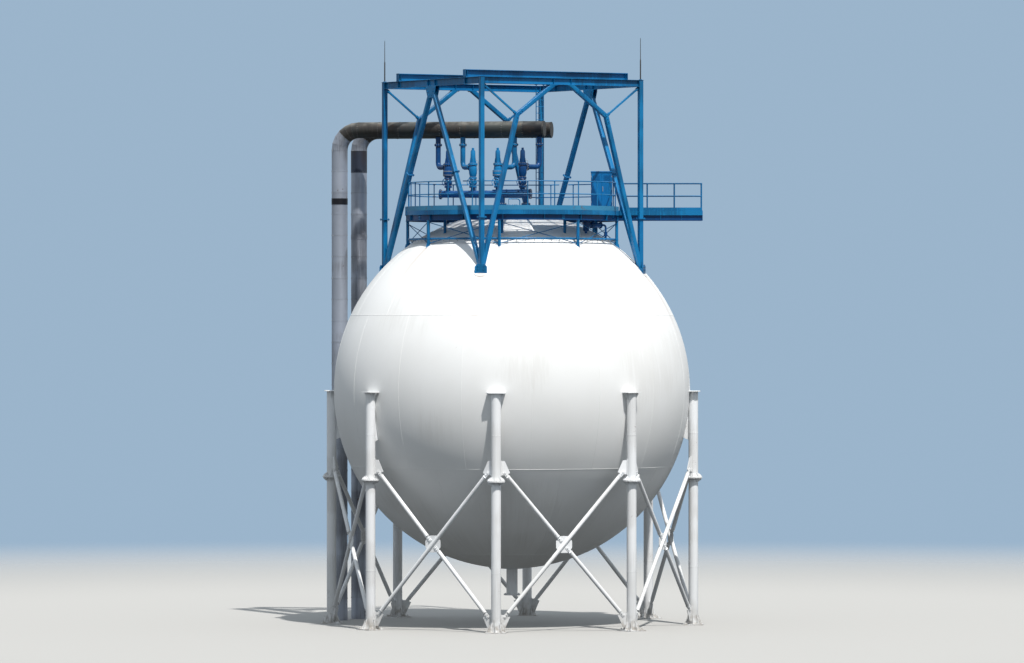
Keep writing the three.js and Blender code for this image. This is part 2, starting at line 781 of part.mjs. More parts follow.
// Collars hold the risers, and bars with diagonals tie them to the two nearest columns.
function makeRiserBracket(piping) {
  const risers = headers.map(({ left, y }) => vec(left, y, bracketHeight));
  const columns = [-2, -3].map((step) =>
    onCircle(columnCircle, columnTurn - headerTurn + (360 / columnCount) * step, bracketHeight),
  );
  const bar = rectangle(bracketBar, bracketBar);
  const strut = rectangle(bracketStrut, bracketStrut);
  const parts = [member(risers[0], risers[1], bar)];
  risers.forEach((riser, i) => {
    const half = collar.height / 2;
    const outer = headerRadius + collar.wall;
    parts.push(disc(riser.x, riser.y, bracketHeight - half, bracketHeight + half, outer, headerSides));
    parts.push(member(columns[i], riser, bar));
    const low = columns[i].clone().setZ(bracketHeight - bracketDrop);
    parts.push(member(low, columns[i].clone().lerp(riser, 0.72), strut));
  });
  const tools = columns.map(({ x, y }) => {
    const radius = columnRadius + seat / Math.cos(Math.PI / columnSides);
    const pipe = new THREE.CylinderGeometry(radius, radius, 2 * centreHeight, columnSides);
    const spin = radians(columnTurn - headerTurn);
    return solid(pipe.rotateX(Math.PI / 2).rotateZ(spin).translate(x, y, 0));
  });
  const sleeve = headerRadius + seat / Math.cos(Math.PI / headerSides);
  tools.push(...headers.map((header) => tube(headerPath(header), sleeve, headerSides)));
  addPiece(piping, "riser_bracket", cut(join(parts), tools), whitePaint);
}

function makeBottomNozzle() {
  const { radius, flange, flangeThick, end } = bottomNozzle;
  const top = centreHeight - sphereRadius + 200;
  const parts = [
    disc(0, 0, end, top, radius, 12),
    disc(0, 0, end, end + flangeThick, flange, 12),
  ];
  addPiece(tank, "bottom_nozzle", cut(join(parts), [ball(0, centreHeight)]), whitePaint);
}

const vessel = new THREE.Group();
vessel.position.z = centreHeight;
tank.add(vessel);
const turnedFrame = (turn) => {
  const frame = new THREE.Group();
  frame.rotation.z = radians(turn);
  vessel.add(frame);
  return frame;
};

makeShell(vessel);
makeColumns();
makeBraces();
const gantry = turnedFrame(gantryTurn);
makePosts(gantry);
makeAFrames(gantry);
makeKneeLegs(gantry);
makeTopFrame(gantry);
makeHoistLadder(gantry);
const platform = turnedFrame(columnTurn);
makePlatform(platform);
makePlatformRails(vessel);
makeCabinet(vessel);
makeWalkway(vessel);
const piping = turnedFrame(headerTurn);
makeHeaders(piping);
makeManifold(piping);
makeReliefValves(piping);
makeRiserBracket(piping);
makeBottomNozzle();

export default tank;
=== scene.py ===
import math
import random

import bmesh
import bpy
from mathutils import Matrix, Vector


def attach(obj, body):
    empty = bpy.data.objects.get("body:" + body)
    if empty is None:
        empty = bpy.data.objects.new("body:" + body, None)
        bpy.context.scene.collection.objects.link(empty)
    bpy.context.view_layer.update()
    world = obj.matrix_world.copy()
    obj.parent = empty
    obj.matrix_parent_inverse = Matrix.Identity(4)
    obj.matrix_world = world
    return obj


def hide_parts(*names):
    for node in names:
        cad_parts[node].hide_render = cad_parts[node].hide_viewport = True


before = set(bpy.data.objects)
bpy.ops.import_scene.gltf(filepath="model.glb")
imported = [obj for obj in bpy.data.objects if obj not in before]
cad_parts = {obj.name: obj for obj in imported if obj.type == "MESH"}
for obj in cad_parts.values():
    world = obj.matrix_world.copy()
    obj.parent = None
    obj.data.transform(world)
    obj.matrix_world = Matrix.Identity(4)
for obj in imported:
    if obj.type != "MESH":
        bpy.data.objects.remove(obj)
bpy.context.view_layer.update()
chance = random.Random(2000)

# Sphere and columns. Sizes are in metres and angles in degrees, and the driving ones match the solids.
SPHERE = 8.0
WALL = 0.04
CENTRE = 10.5
COLUMNS = 8
COLUMN_TURN = -4.9
COLUMN_CIRCLE = 8.16
COLUMN_RADIUS = 0.215
CAP_WIDTH = 0.8
CAP_DEPTH = 0.62
CAP_THICK = 0.04
SPLICE_HEIGHT = CENTRE - 3.85
SPLICE_LOW = SPLICE_HEIGHT - 0.07
SPLICE_FLANGE = 0.034
SPLICE_RADIUS = 0.4
BASE_WIDTH = 0.9
BASE_THICK = 0.045
BASE_GUSSET = 0.42

# Cross braces
BRACE_RADIUS = 0.09
BRACE_UPPER = CENTRE - 3.3
BRACE_LOWER = 0.48
BRACE_PLATE = 0.028
GUSSET = 0.62

# Hoist gantry. From here on, heights are above the centre of the sphere.
GANTRY_TURN = 31.9
GANTRY_HALF = 4.172
POST = 0.2
LEG = 0.19
BEAM_TOP = 13.9
BEAM_DEPTH = 0.3
BEAM_WIDTH = 0.2
KNEE_ALONG = 1.835
KNEE_HEIGHT = 12.25
KNEE_TOP_ALONG = 3.71
RUNWAY_LINE = GANTRY_HALF - 1.3
RUNWAY_DEPTH = 0.35
RUNWAY_WIDTH = 0.24
ROD_TOP = 15.8
ROD_RADIUS = 0.028
LADDER_X = 3.284
LADDER_WIDTH = 0.4

# Working platform
DECK = 4.8
DECK_HOLE = 1.3
DECK_TOP = 8.1
DECK_PLATE = 0.05
TOE_TOP = 8.25
TOE_PLATE = 0.012
RING_BEAM_LOW = 7.6
RING_BEAM_WIDTH = 0.11
SKIRT_LOW = 7.85
CATWALK = 3.45
MESH_RING = 2.4
JOIST_RING = 3.0
DECK_PLATES = 16
STRAND_PITCH = 0.09
HATCH_RADIUS = 4.15
HATCH_AZIMUTHS = (2.0, 20.5)
CURB_LOW = 7.905
JOISTS = 16
PLATFORM_LEGS = 8
LEG_CIRCLE = 4.73
LEG_RADIUS = 0.07
LEG_TURN = -1.9
PROP_CIRCLE = 3.8
SPRAY_FEED_AZIMUTH = 69.2
SPRAY_FEED_HEIGHT = 7.4
SPRAY_NOZZLES = 72
STRAINER = (4.2, 56.7)
RING_PIPE = 4.64
RING_PIPE_RADIUS = 0.045
RING_PIPE_HEIGHT = 6.78
RAIL_CIRCLE = 4.65
RAIL_TOP = 9.35
RAIL_MIDDLE = 8.76
RAIL_RADIUS = 0.024
RAIL_CLEARANCE = 0.045
POST_SPACING = 1.2
WALKWAY_GAP = (100.9, 114.4)
RAIL_SPLIT = 274.5
RAIL_SPLIT_GAP = 3.6
CABINET = (4.02, -0.5)
CABINET_SIZE = (0.95, 0.5, 1.75)
CABINET_LEG = 0.15
WALKWAY_FRONT = 0.9
WALKWAY_BACK = 1.9
WALKWAY_END = 8.6
WALKWAY_DEPTH = 0.45
WALKWAY_GIRDER = 0.08

# Vent headers, manifold and valves
HEADER_TURN = -13
HEADER_RADIUS = 0.36
HEADER_HEIGHT = 11.8
HEADER_BEND = 0.9
HEADER_RIGHT = 1.083
HEADERS = {"front": (1.803, -8.472), "back": (3.313, -7.949)}
MANIFOLD_Y = 0.83
MANIFOLD_HEIGHT = 8.85
MANIFOLD_RADIUS = 0.16
MANIFOLD_ENDS = (-3.5, 0.65)
MANIFOLD_NOZZLES = (-0.65, 0.45)
NOZZLE_RADIUS = 0.125
NOZZLE_FLANGE = 8.375
VALVE_SEAT = 9.18
VALVE_XS = (-3.15, -2.0, -0.85, 0.3)
OUTLET_SHIFTS = (-0.7, -0.7, 0.55, 0.55)
OUTLET_RADIUS = 0.115
OUTLET_HEIGHT = 10.08
OUTLET_BEND = 0.26
MANHOLE = (-0.15, -0.56)
MANHOLE_RADIUS = 0.33
MANHOLE_COVER = 0.42
MANHOLE_TOP = 8.32
BRACKET_HEIGHT = -1.25
BRACKET_BAR = 0.13
BRACKET_STRUT = 0.09
COLLAR_WALL = 0.06
BRACKET_DROP = 1.7

# Bottom nozzle, with its height above the ground
BOTTOM_NOZZLE = 0.25
BOTTOM_FLANGE = 0.37
BOTTOM_END = 1.3

# The gap left between faces that meet, so that they don't lie in one plane
GAP = 0.001

# Sun, in degrees, camera and ground
SUN_AZIMUTH = 25
SUN_HEIGHT = 61
CAMERA_LENS = 219
CAMERA_EYE = (0, -280, 13.8)
CAMERA_TARGET = (0, 0, 13.15)
GROUND_RADIUS = 150
GROUND_FADE = (30.0, 110.0)

# Directions, and the frame that moves nothing
UP = (0, 0, 1)
ALONG_X = (1, 0, 0)
ALONG_Y = (0, 1, 0)
HERE = Matrix()


def turned(angle):
    """A turn about the upright axis, in degrees."""
    return Matrix.Rotation(math.radians(angle), 4, "Z")


def axes(x_axis, y_axis, z_axis):
    return Matrix((x_axis, y_axis, z_axis)).transposed().to_4x4()


# Frames of upright plates, named for the side that their thickness is drawn out to
TO_FRONT = axes(ALONG_X, UP, (0, -1, 0))
TO_RIGHT = axes(ALONG_Y, UP, ALONG_X)
TO_LEFT = axes((0, -1, 0), UP, (-1, 0, 0))

# The frames that the pieces are built in
VESSEL = Matrix.Translation((0, 0, CENTRE))
GANTRY = VESSEL @ turned(GANTRY_TURN)
PLATFORM = VESSEL @ turned(COLUMN_TURN)
PIPING = VESSEL @ turned(HEADER_TURN)


def around(radius, azimuth, height=0.0):
    """A point on a circle. An azimuth of 0 is at the front, along -Y, and 90 is at the right."""
    angle = math.radians(azimuth)
    return Vector((radius * math.sin(angle), -radius * math.cos(angle), height))


def facing(direction, at=(0, 0, 0), hint=UP):
    """A frame at a point whose Z axis lies along the direction."""
    z_axis = Vector(direction).normalized()
    x_axis = Vector(hint).cross(z_axis)
    if x_axis.length < 1e-4:
        x_axis = Vector(ALONG_Y).cross(z_axis)
    x_axis.normalize()
    return Matrix.Translation(at) @ axes(x_axis, z_axis.cross(x_axis), z_axis)


def height_on_sphere(x, y=0.0):
    """How far the sphere's outer face lies above its centre, at a place in plan."""
    return math.sqrt(SPHERE ** 2 - x * x - y * y)


# Outlines of sections and plates

def rectangle(width, depth):
    x, y = width / 2, depth / 2
    return [(-x, -y), (x, -y), (x, y), (-x, y)]


def rounded(size, radius, steps=3):
    """A square with round corners, as a rolled hollow section has."""
    points = []
    for quarter, (sx, sy) in enumerate([(1, 1), (-1, 1), (-1, -1), (1, -1)]):
        middle = (sx * (size / 2 - radius), sy * (size / 2 - radius))
        for step in range(steps + 1):
            angle = math.pi / 2 * (quarter + step / steps)
            points.append((middle[0] + radius * math.cos(angle), middle[1] + radius * math.sin(angle)))
    return points


def circle(radius, sides, turn=0.0):
    """Points round a circle. The first one is moved on by turn, as a share of one side."""
    angles = [2 * math.pi * (i + turn) / sides for i in range(sides)]
    return [(radius * math.cos(angle), radius * math.sin(angle)) for angle in angles]


def i_section(width, depth, flange, web):
    """A rolled I section, given by its size and the thickness of its flanges and its web."""
    w, d, t = width / 2, depth / 2, web / 2
    half = [(t, d - flange), (w, d - flange), (w, d), (-w, d), (-w, d - flange), (-t, d - flange)]
    return half + [(-x, -y) for x, y in half]


def channel(width, depth, flange, web):
    """A channel whose back lies on x = 0 and whose flanges reach to x = width."""
    d = depth / 2
    return [(0, -d), (width, -d), (width, -d + flange), (web, -d + flange),
            (web, d - flange), (width, d - flange), (width, d), (0, d)]


def drawn_out(count):
    """The faces between two outlines of count points each: the sides, then the two ends."""
    sides = [[i, (i + 1) % count, count + (i + 1) % count, count + i] for i in range(count)]
    return sides + [list(range(count))[::-1], list(range(count, 2 * count))]


# Where the bolts go, by the steel that they hold
fasteners = {"column": [], "gantry": [], "platform": [], "piping": []}


class Work:
    """Gathers the forms of one piece. Forms are given in the piece's own frame."""

    def __init__(self, place=HERE):
        self.place = place
        self.points = []
        self.faces = []
        self.finishes = []
        self.tones = []

    def add(self, points, faces, place=HERE, finish=None, tone=None):
        """Adds one form, in the main finish of its piece unless another material is given.

        Its tone is drawn by chance, or given for the whole or for each face.
        """
        base = self.place @ place
        start = len(self.points)
        shade = chance.random() if tone is None else tone
        self.points += [base @ Vector(point) for point in points]
        self.faces += [[start + corner for corner in face] for face in faces]
        self.finishes += [finish] * len(faces)
        self.tones += shade if isinstance(shade, list) else [shade] * len(faces)

    def prism(self, outline, depth, place=HERE, **options):
        """An outline in the XY plane, drawn out along Z."""
        points = [(x, y, z) for z in (0, depth) for x, y in outline]
        self.add(points, drawn_out(len(outline)), place, **options)

    def box(self, low, high, place=HERE, **options):
        """A box between its lowest and its highest corner."""
        outline = [(low[0], low[1]), (high[0], low[1]), (high[0], high[1]), (low[0], high[1])]
        lift = Matrix.Translation((0, 0, low[2]))
        self.prism(outline, high[2] - low[2], place @ lift, **options)

    def square(self, centre, half, low, high, **options):
        """A square post or plate that stands at a place in plan."""
        x, y = centre
        self.box((x - half, y - half, low), (x + half, y + half, high), **options)

    def bar(self, start, end, outline, hint=UP, cuts=(None, None), **options):
        """A straight member. A cut is the normal of the plane that its end is cut along."""
        start, end = Vector(start), Vector(end)
        place = facing(end - start, start, hint)
        along = (end - start).normalized()
        points = []
        for origin, cut in zip((start, end), cuts):
            for x, y in outline:
                across = place.to_3x3() @ Vector((x, y, 0))
                slide = -across.dot(Vector(cut)) / along.dot(Vector(cut)) if cut else 0
                points.append(origin + across + along * slide)
        self.add(points, drawn_out(len(outline)), **options)

    def lathe(self, profile, place=HERE, sides=32, loop=False, **options):
        """A profile of (radius, height) turned about Z. It runs from axis to axis, or is a loop."""
        points, rings, faces = [], [], []
        for radius, height in profile:
            if radius < 1e-6:
                rings.append([len(points)] * sides)
                points.append((0, 0, height))
            else:
                rings.append([len(points) + i for i in range(sides)])
                points += [(x, y, height) for x, y in circle(radius, sides)]
        pairs = list(zip(rings, rings[1:])) + ([(rings[-1], rings[0])] if loop else [])
        for lower, upper in pairs:
            for i in range(sides):
                j = (i + 1) % sides
                corners = [lower[i], lower[j], upper[j], upper[i]]
                face = [corner for k, corner in enumerate(corners) if corner not in corners[:k]]
                faces.append(face)
        self.add(points, faces, place, **options)

    def disc(self, centre, low, high, radius, sides, place=HERE, **options):
        """A round plate or rod on an upright axis, with its edges eased."""
        edge = min(0.004, (high - low) / 4, radius / 4)
        profile = [(0, low), (radius - edge, low), (radius, low + edge),
                   (radius, high - edge), (radius - edge, high), (0, high)]
        shift = Matrix.Translation((centre[0], centre[1], 0))
        self.lathe(profile, place @ shift, sides, **options)

    def band(self, inner, outer, low, high, place=HERE, sides=48, **options):
        """A ring with a square section."""
        profile = [(inner, low), (outer, low), (outer, high), (inner, high)]
        self.lathe(profile, place, sides, loop=True, **options)

    def tube(self, path, radius, sides, **options):
        """A round bar along a path of points. Its ends are closed."""
        path = [Vector(point) for point in path]
        steps = [(b - a).normalized() for a, b in zip(path, path[1:])]
        tangents = [steps[0]] + [(a + b).normalized() for a, b in zip(steps, steps[1:])] + [steps[-1]]
        radii = radius if isinstance(radius, list) else [radius] * len(path)
        across = facing(tangents[0]).to_3x3() @ Vector(ALONG_X)
        points, faces = [], []
        for k, (middle, tangent, size) in enumerate(zip(path, tangents, radii)):
            across = (across - tangent * across.dot(tangent)).normalized()
            upright = tangent.cross(across)
            points += [middle + across * x + upright * y for x, y in circle(size, sides)]
            if k:
                low, high = sides * (k - 1), sides * k
                for i in range(sides):
                    j = (i + 1) % sides
                    faces.append([low + i, low + j, high + j, high + i])
        faces += [list(range(sides))[::-1], list(range(len(points) - sides, len(points)))]
        self.add(points, faces, **options)

    def bolt(self, group, at, axis=UP, size=0.024, place=HERE):
        base = self.place @ place
        fasteners[group].append((base @ Vector(at), base.to_3x3() @ Vector(axis), size))

    def bolt_circle(self, group, centre, radius, count, height, size, place=HERE, down=False):
        axis = (0, 0, -1) if down else UP
        for x, y in circle(radius, count, 0.5):
            self.bolt(group, (centre[0] + x, centre[1] + y, height), axis, size, place)


def rounded_path(corners, radius, steps=8):
    """The points of a path whose corners are rounded."""
    corners = [Vector(corner) for corner in corners]
    points = [corners[0]]
    for before, corner, after in zip(corners, corners[1:], corners[2:]):
        back, ahead = (before - corner).normalized(), (after - corner).normalized()
        half = back.angle(ahead) / 2
        centre = corner + (back + ahead).normalized() * (radius / math.sin(half))
        start = corner + back * (radius / math.tan(half)) - centre
        end = corner + ahead * (radius / math.tan(half)) - centre
        axis = start.cross(end).normalized()
        for k in range(steps + 1):
            turn = Matrix.Rotation(start.angle(end) * k / steps, 3, axis)
            points.append(centre + turn @ start)
    return points + [corners[-1]]


def face_outwards(mesh, sharp):
    """Points the faces of a mesh outwards, and smooths all edges but those over the angle."""
    shape = bmesh.new()
    shape.from_mesh(mesh)
    bmesh.ops.recalc_face_normals(shape, faces=shape.faces)
    shape.to_mesh(mesh)
    shape.free()
    mesh.polygons.foreach_set("use_smooth", [True] * len(mesh.polygons))
    mesh.set_sharp_from_angle(angle=math.radians(sharp))


def linked(name, data):
    """A new object in the scene that shows the data."""
    made = bpy.data.objects.new(name, data)
    bpy.context.scene.collection.objects.link(made)
    return made


def finished(name, work, main, node, bevel=0.0):
    """Turns the gathered forms into one mesh that rides with the tank in place of a solid."""
    mesh = bpy.data.meshes.new(name)
    mesh.from_pydata(work.points, [], work.faces)
    finishes = [finish or main for finish in work.finishes]
    materials = list(dict.fromkeys([main, *finishes]))
    for material in materials:
        mesh.materials.append(material)
    mesh.polygons.foreach_set("material_index", [materials.index(finish) for finish in finishes])
    tone = mesh.attributes.new("tone", "FLOAT", "FACE")
    tone.data.foreach_set("value", work.tones)
    face_outwards(mesh, 35)
    piece = linked(name, mesh)
    if bevel:
        edges = piece.modifiers.new("edges", "BEVEL")
        edges.width = bevel
        edges.segments = 1
        edges.angle_limit = math.radians(50)
        edges.harden_normals = True
    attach(piece, "root")
    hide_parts(node)


class Graph:
    """Places and wires the nodes of one tree."""

    def __init__(self, tree):
        self.tree = tree

    def node(self, kind, **settings):
        made = self.tree.nodes.new(kind)
        for name, value in settings.items():
            setattr(made, name, value)
        return made

    def feed(self, socket, value):
        if isinstance(value, bpy.types.NodeSocket):
            self.tree.links.new(value, socket)
        else:
            socket.default_value = value

    def wired(self, kind, inputs, output=0, **settings):
        """Places a node, feeds its named inputs and returns one of its outputs."""
        made = self.node(kind, **settings)
        for name, value in inputs.items():
            self.feed(made.inputs[name], value)
        return made.outputs[output]

    def math(self, operation, *values, clamp=False):
        return self.wired("ShaderNodeMath", dict(enumerate(values)), operation=operation, use_clamp=clamp)

    def vector(self, operation, *values):
        return self.wired("ShaderNodeVectorMath", dict(enumerate(values)), operation=operation)

    def length(self, vector):
        return self.wired("ShaderNodeVectorMath", {0: vector}, output=1, operation="LENGTH")

    def combine(self, x, y, z):
        return self.wired("ShaderNodeCombineXYZ", {0: x, 1: y, 2: z})

    def split(self, vector):
        """The X, Y and Z of a vector."""
        made = self.node("ShaderNodeSeparateXYZ")
        self.feed(made.inputs[0], vector)
        return made.outputs

    def mix(self, factor, first, second):
        return self.wired("ShaderNodeMix", {0: factor, 6: first, 7: second}, output=2, data_type="RGBA")

    def step(self, value, low, high):
        """Rises smoothly from 0 to 1 as the value goes from low to high."""
        inputs = {"Value": value, "From Min": low, "From Max": high}
        return self.wired("ShaderNodeMapRange", inputs, interpolation_type="SMOOTHSTEP")

    def fall(self, value, low, high):
        """Falls smoothly from 1 to 0 as the value goes from low to high."""
        return self.math("SUBTRACT", 1.0, self.step(value, low, high))

    def noise(self, vector, scale, detail=3.0, roughness=0.55):
        inputs = {"Vector": vector, "Scale": scale, "Detail": detail, "Roughness": roughness}
        return self.wired("ShaderNodeTexNoise", inputs)


# Effects that several finishes share. Each is a group that gives one mask.

def effect(build, **inputs):
    """Makes the group of an effect, which takes its name from the function that builds it."""
    name = build.__name__
    tree = bpy.data.node_groups.new(name, "ShaderNodeTree")
    tree.interface.new_socket("Vector", in_out="INPUT", socket_type="NodeSocketVector")
    for label, value in inputs.items():
        socket = tree.interface.new_socket(label, in_out="INPUT", socket_type="NodeSocketFloat")
        socket.default_value = value
    tree.interface.new_socket("Mask", in_out="OUTPUT", socket_type="NodeSocketFloat")
    graph = Graph(tree)
    entry = graph.node("NodeGroupInput")
    leave = graph.node("NodeGroupOutput")
    graph.feed(leave.inputs["Mask"], build(graph, entry.outputs))
    return tree


def rain_streaks(graph, given):
    """Long upright streaks on upright steel, gathered in patches."""
    x, y, z = graph.split(given["Vector"])
    across = [graph.math("MULTIPLY", value, given["Across"]) for value in (x, y)]
    down = graph.math("MULTIPLY", z, given["Along"])
    lines = graph.noise(graph.combine(*across, down), 1.0, detail=4.0)
    patches = graph.noise(given["Vector"], 0.45, detail=2.0)
    gathered = graph.math("MULTIPLY", lines, graph.step(patches, 0.3, 0.62))
    return graph.step(gathered, given["Low"], given["High"])


def meridian_streaks(graph, given):
    """Streaks that run down a sphere from its crown. The vector is taken from its centre."""
    x, y, z = graph.split(given["Vector"])
    level = graph.vector("NORMALIZE", graph.combine(x, y, 0.0))
    scale = graph.node("ShaderNodeVectorMath", operation="SCALE")
    graph.feed(scale.inputs[0], level)
    graph.feed(scale.inputs["Scale"], given["Across"])
    drop = graph.combine(0.0, 0.0, graph.math("MULTIPLY", z, given["Along"]))
    lines = graph.noise(graph.vector("ADD", scale.outputs[0], drop), 1.0, detail=5.0, roughness=0.6)
    patches = graph.noise(given["Vector"], 0.22, detail=2.0)
    gathered = graph.math("MULTIPLY", lines, graph.step(patches, 0.25, 0.7))
    return graph.step(gathered, given["Low"], given["High"])


def runs_below(graph, given):
    """Stains that run down the sphere below feet that stand at equal angles round its crown."""
    x, y, z = graph.split(given["Vector"])
    angle = graph.math("ARCTAN2", x, graph.math("MULTIPLY", y, -1.0))
    turns = graph.math("DIVIDE", angle, 2 * math.pi)
    shifted = graph.math("SUBTRACT", turns, graph.math("DIVIDE", given["Turn"], 360.0))
    share = graph.math("FRACT", graph.math("ADD", graph.math("MULTIPLY", shifted, given["Count"]), 0.5))
    off = graph.math("ABSOLUTE", graph.math("SUBTRACT", share, 0.5))
    reach = graph.length(graph.combine(x, y, 0.0))
    girth = graph.math("DIVIDE", graph.math("MULTIPLY", reach, 2 * math.pi), given["Count"])
    aside = graph.math("MULTIPLY", off, girth)
    wobble = graph.noise(graph.vector("MULTIPLY", given["Vector"], (3.0, 3.0, 0.5)), 1.0, detail=4.0)
    edge = graph.math("MULTIPLY", given["Width"], graph.math("MULTIPLY", wobble, 1.6))
    beside = graph.fall(aside, graph.math("MULTIPLY", edge, 0.2), edge)
    below = graph.math("SUBTRACT", given["Top"], z)
    started = graph.step(below, 0.0, 0.15)
    faded = graph.fall(below, 0.2, given["Length"])
    return graph.math("MULTIPLY", beside, graph.math("MULTIPLY", started, faded))


def rust_spots(graph, given):
    """Small spots of rust that come in clusters."""
    fine = graph.noise(given["Vector"], given["Scale"], detail=6.0, roughness=0.7)
    clusters = graph.noise(given["Vector"], 0.9, detail=2.0)
    both = graph.math("ADD", fine, graph.math("MULTIPLY", graph.math("SUBTRACT", clusters, 0.5), 0.5))
    limit = graph.math("SUBTRACT", 0.78, given["Cover"])
    return graph.step(both, limit, graph.math("ADD", limit, 0.05))


def mottle(graph, given):
    """Broad uneven fading."""
    return graph.step(graph.noise(given["Vector"], given["Scale"], detail=4.0), 0.3, 0.7)


def dust_and_painted_highlight(graph, given):
    """Pale colour on faces that look up: dust, and where it is laid on strongly, also a painted
    highlight.
    """
    upward = graph.split(graph.node("ShaderNodeNewGeometry").outputs["Normal"])[2]
    patches = graph.step(graph.noise(given["Vector"], 2.2, detail=5.0), 0.25, 0.75)
    return graph.math("MULTIPLY", graph.step(upward, 0.35, 0.95), patches)


EFFECTS = {
    "rain_streaks": effect(rain_streaks, Across=7.0, Along=0.5, Low=0.25, High=0.5),
    "meridian_streaks": effect(meridian_streaks, Across=26.0, Along=0.35, Low=0.25, High=0.55),
    "runs_below": effect(runs_below, Count=4.0, Turn=0.0, Top=5.0, Length=3.0, Width=0.3),
    "rust_spots": effect(rust_spots, Scale=14.0, Cover=0.1),
    "mottle": effect(mottle, Scale=0.8),
    "dust_and_painted_highlight": effect(dust_and_painted_highlight),
}

RUST = (0.105, 0.038, 0.016, 1)
DUST = (0.33, 0.30, 0.25, 1)


def dimmed(colour, share):
    return [value * share for value in colour[:3]] + [1]


class Finish:
    """One finish in the making. Layers are laid over each other in order."""

    def __init__(self, name, colour, centre=(0, 0, 0)):
        self.material = bpy.data.materials.new(name)
        self.material.use_nodes = True
        self.graph = Graph(self.material.node_tree)
        self.shader = self.material.node_tree.nodes["Principled BSDF"]
        place = self.graph.node("ShaderNodeMapping")
        place.inputs["Location"].default_value = [-value for value in centre]
        self.graph.feed(place.inputs["Vector"], self.graph.node("ShaderNodeTexCoord").outputs["Object"])
        self.vector = place.outputs[0]
        self.tone = self.graph.node("ShaderNodeAttribute", attribute_name="tone").outputs["Fac"]
        self.colour = colour

    def mask(self, name, **values):
        group = self.graph.node("ShaderNodeGroup", node_tree=EFFECTS[name])
        self.graph.feed(group.inputs["Vector"], self.vector)
        for label, value in values.items():
            group.inputs[label].default_value = value
        return group.outputs["Mask"]

    def layer(self, mask, colour, strength):
        amount = self.graph.math("MULTIPLY", mask, strength, clamp=True)
        self.colour = self.graph.mix(amount, self.colour, colour)
        return amount

    def done(self, roughness, rougher, rougher_by, metallic=0.0, grain=400.0, bump=0.1, height=None):
        """Feeds the shader: the colour, a roughness that the mask rougher adds to, and the relief."""
        graph = self.graph
        graph.feed(self.shader.inputs["Base Color"], self.colour)
        fine = graph.noise(self.vector, grain / 10, detail=3.0)
        rough = graph.math("ADD", roughness - 0.06, graph.math("MULTIPLY", fine, 0.12))
        rough = graph.math("ADD", rough, graph.math("MULTIPLY", rougher, rougher_by), clamp=True)
        graph.feed(self.shader.inputs["Roughness"], rough)
        self.shader.inputs["Metallic"].default_value = metallic
        relief = graph.noise(self.vector, grain, detail=2.0) if height is None else height
        normal = graph.wired("ShaderNodeBump", {"Strength": bump, "Distance": 0.01, "Height": relief})
        graph.feed(self.shader.inputs["Normal"], normal)
        return self.material


def shell_paint():
    """Chalky white paint on the sphere, with faint rain streaks and stains below the feet."""
    finish = Finish("shell_paint", (0.83, 0.835, 0.83, 1), (0, 0, CENTRE))
    finish.layer(finish.tone, (0.77, 0.78, 0.775, 1), 0.45)
    finish.layer(finish.mask("mottle", Scale=0.5), (0.74, 0.74, 0.72, 1), 0.25)
    finish.layer(finish.mask("meridian_streaks"), (0.44, 0.42, 0.37, 1), 0.07)
    finish.layer(finish.mask("meridian_streaks", Across=60.0, Along=0.8, Low=0.36, High=0.5),
                 (0.36, 0.33, 0.28, 1), 0.06)
    top = height_on_sphere(GANTRY_HALF, GANTRY_HALF) + 0.1
    below_posts = finish.mask(
        "runs_below", Count=4.0, Turn=GANTRY_TURN + 45, Top=top, Length=4.2, Width=0.42)
    finish.layer(below_posts, (0.33, 0.20, 0.12, 1), 0.34)
    below_legs = finish.mask(
        "runs_below", Count=8.0, Turn=COLUMN_TURN + LEG_TURN, Top=6.45, Length=2.4, Width=0.24)
    finish.layer(below_legs, (0.38, 0.25, 0.16, 1), 0.3)
    rust = finish.layer(finish.mask("rust_spots", Scale=9.0, Cover=0.0), RUST, 0.8)
    return finish.done(0.42, rust, 0.3, grain=60.0, bump=0.05)


def column_paint():
    """White paint on the columns and braces, greyer towards the ground."""
    finish = Finish("column_paint", (0.85, 0.865, 0.88, 1))
    finish.layer(finish.tone, (0.79, 0.80, 0.81, 1), 0.4)
    finish.layer(finish.mask("rain_streaks", Across=22.0, Along=0.7), (0.45, 0.43, 0.39, 1), 0.28)
    graph = finish.graph
    height = graph.split(finish.vector)[2]
    finish.layer(graph.fall(height, 0.0, 6.5), (0.54, 0.54, 0.53, 1), 0.32)
    splash = graph.math("MULTIPLY", graph.fall(height, 0.0, 0.9), finish.mask("mottle", Scale=5.0))
    finish.layer(splash, (0.25, 0.21, 0.16, 1), 0.75)
    rust = finish.layer(finish.mask("rust_spots", Scale=16.0, Cover=0.09), RUST, 0.85)
    return finish.done(0.48, rust, 0.3, grain=90.0, bump=0.06)


def blue_paint(name, colour, faded, cover, dust):
    """Blue gloss paint that has faded, chipped and gathered dust."""
    finish = Finish(name, colour)
    finish.layer(finish.tone, faded, 0.5)
    finish.layer(finish.mask("mottle", Scale=1.1), faded, 0.4)
    streaks = finish.mask("rain_streaks", Across=16.0, Along=0.6)
    finish.layer(streaks, (0.003, 0.035, 0.090, 1), 0.45)
    finish.layer(finish.mask("dust_and_painted_highlight"), DUST, dust)
    rust = finish.layer(finish.mask("rust_spots", Scale=15.0, Cover=cover), RUST, 0.9)
    finish.shader.inputs["Specular IOR Level"].default_value = 0.3
    return finish.done(0.32, rust, 0.4, grain=120.0, bump=0.08)


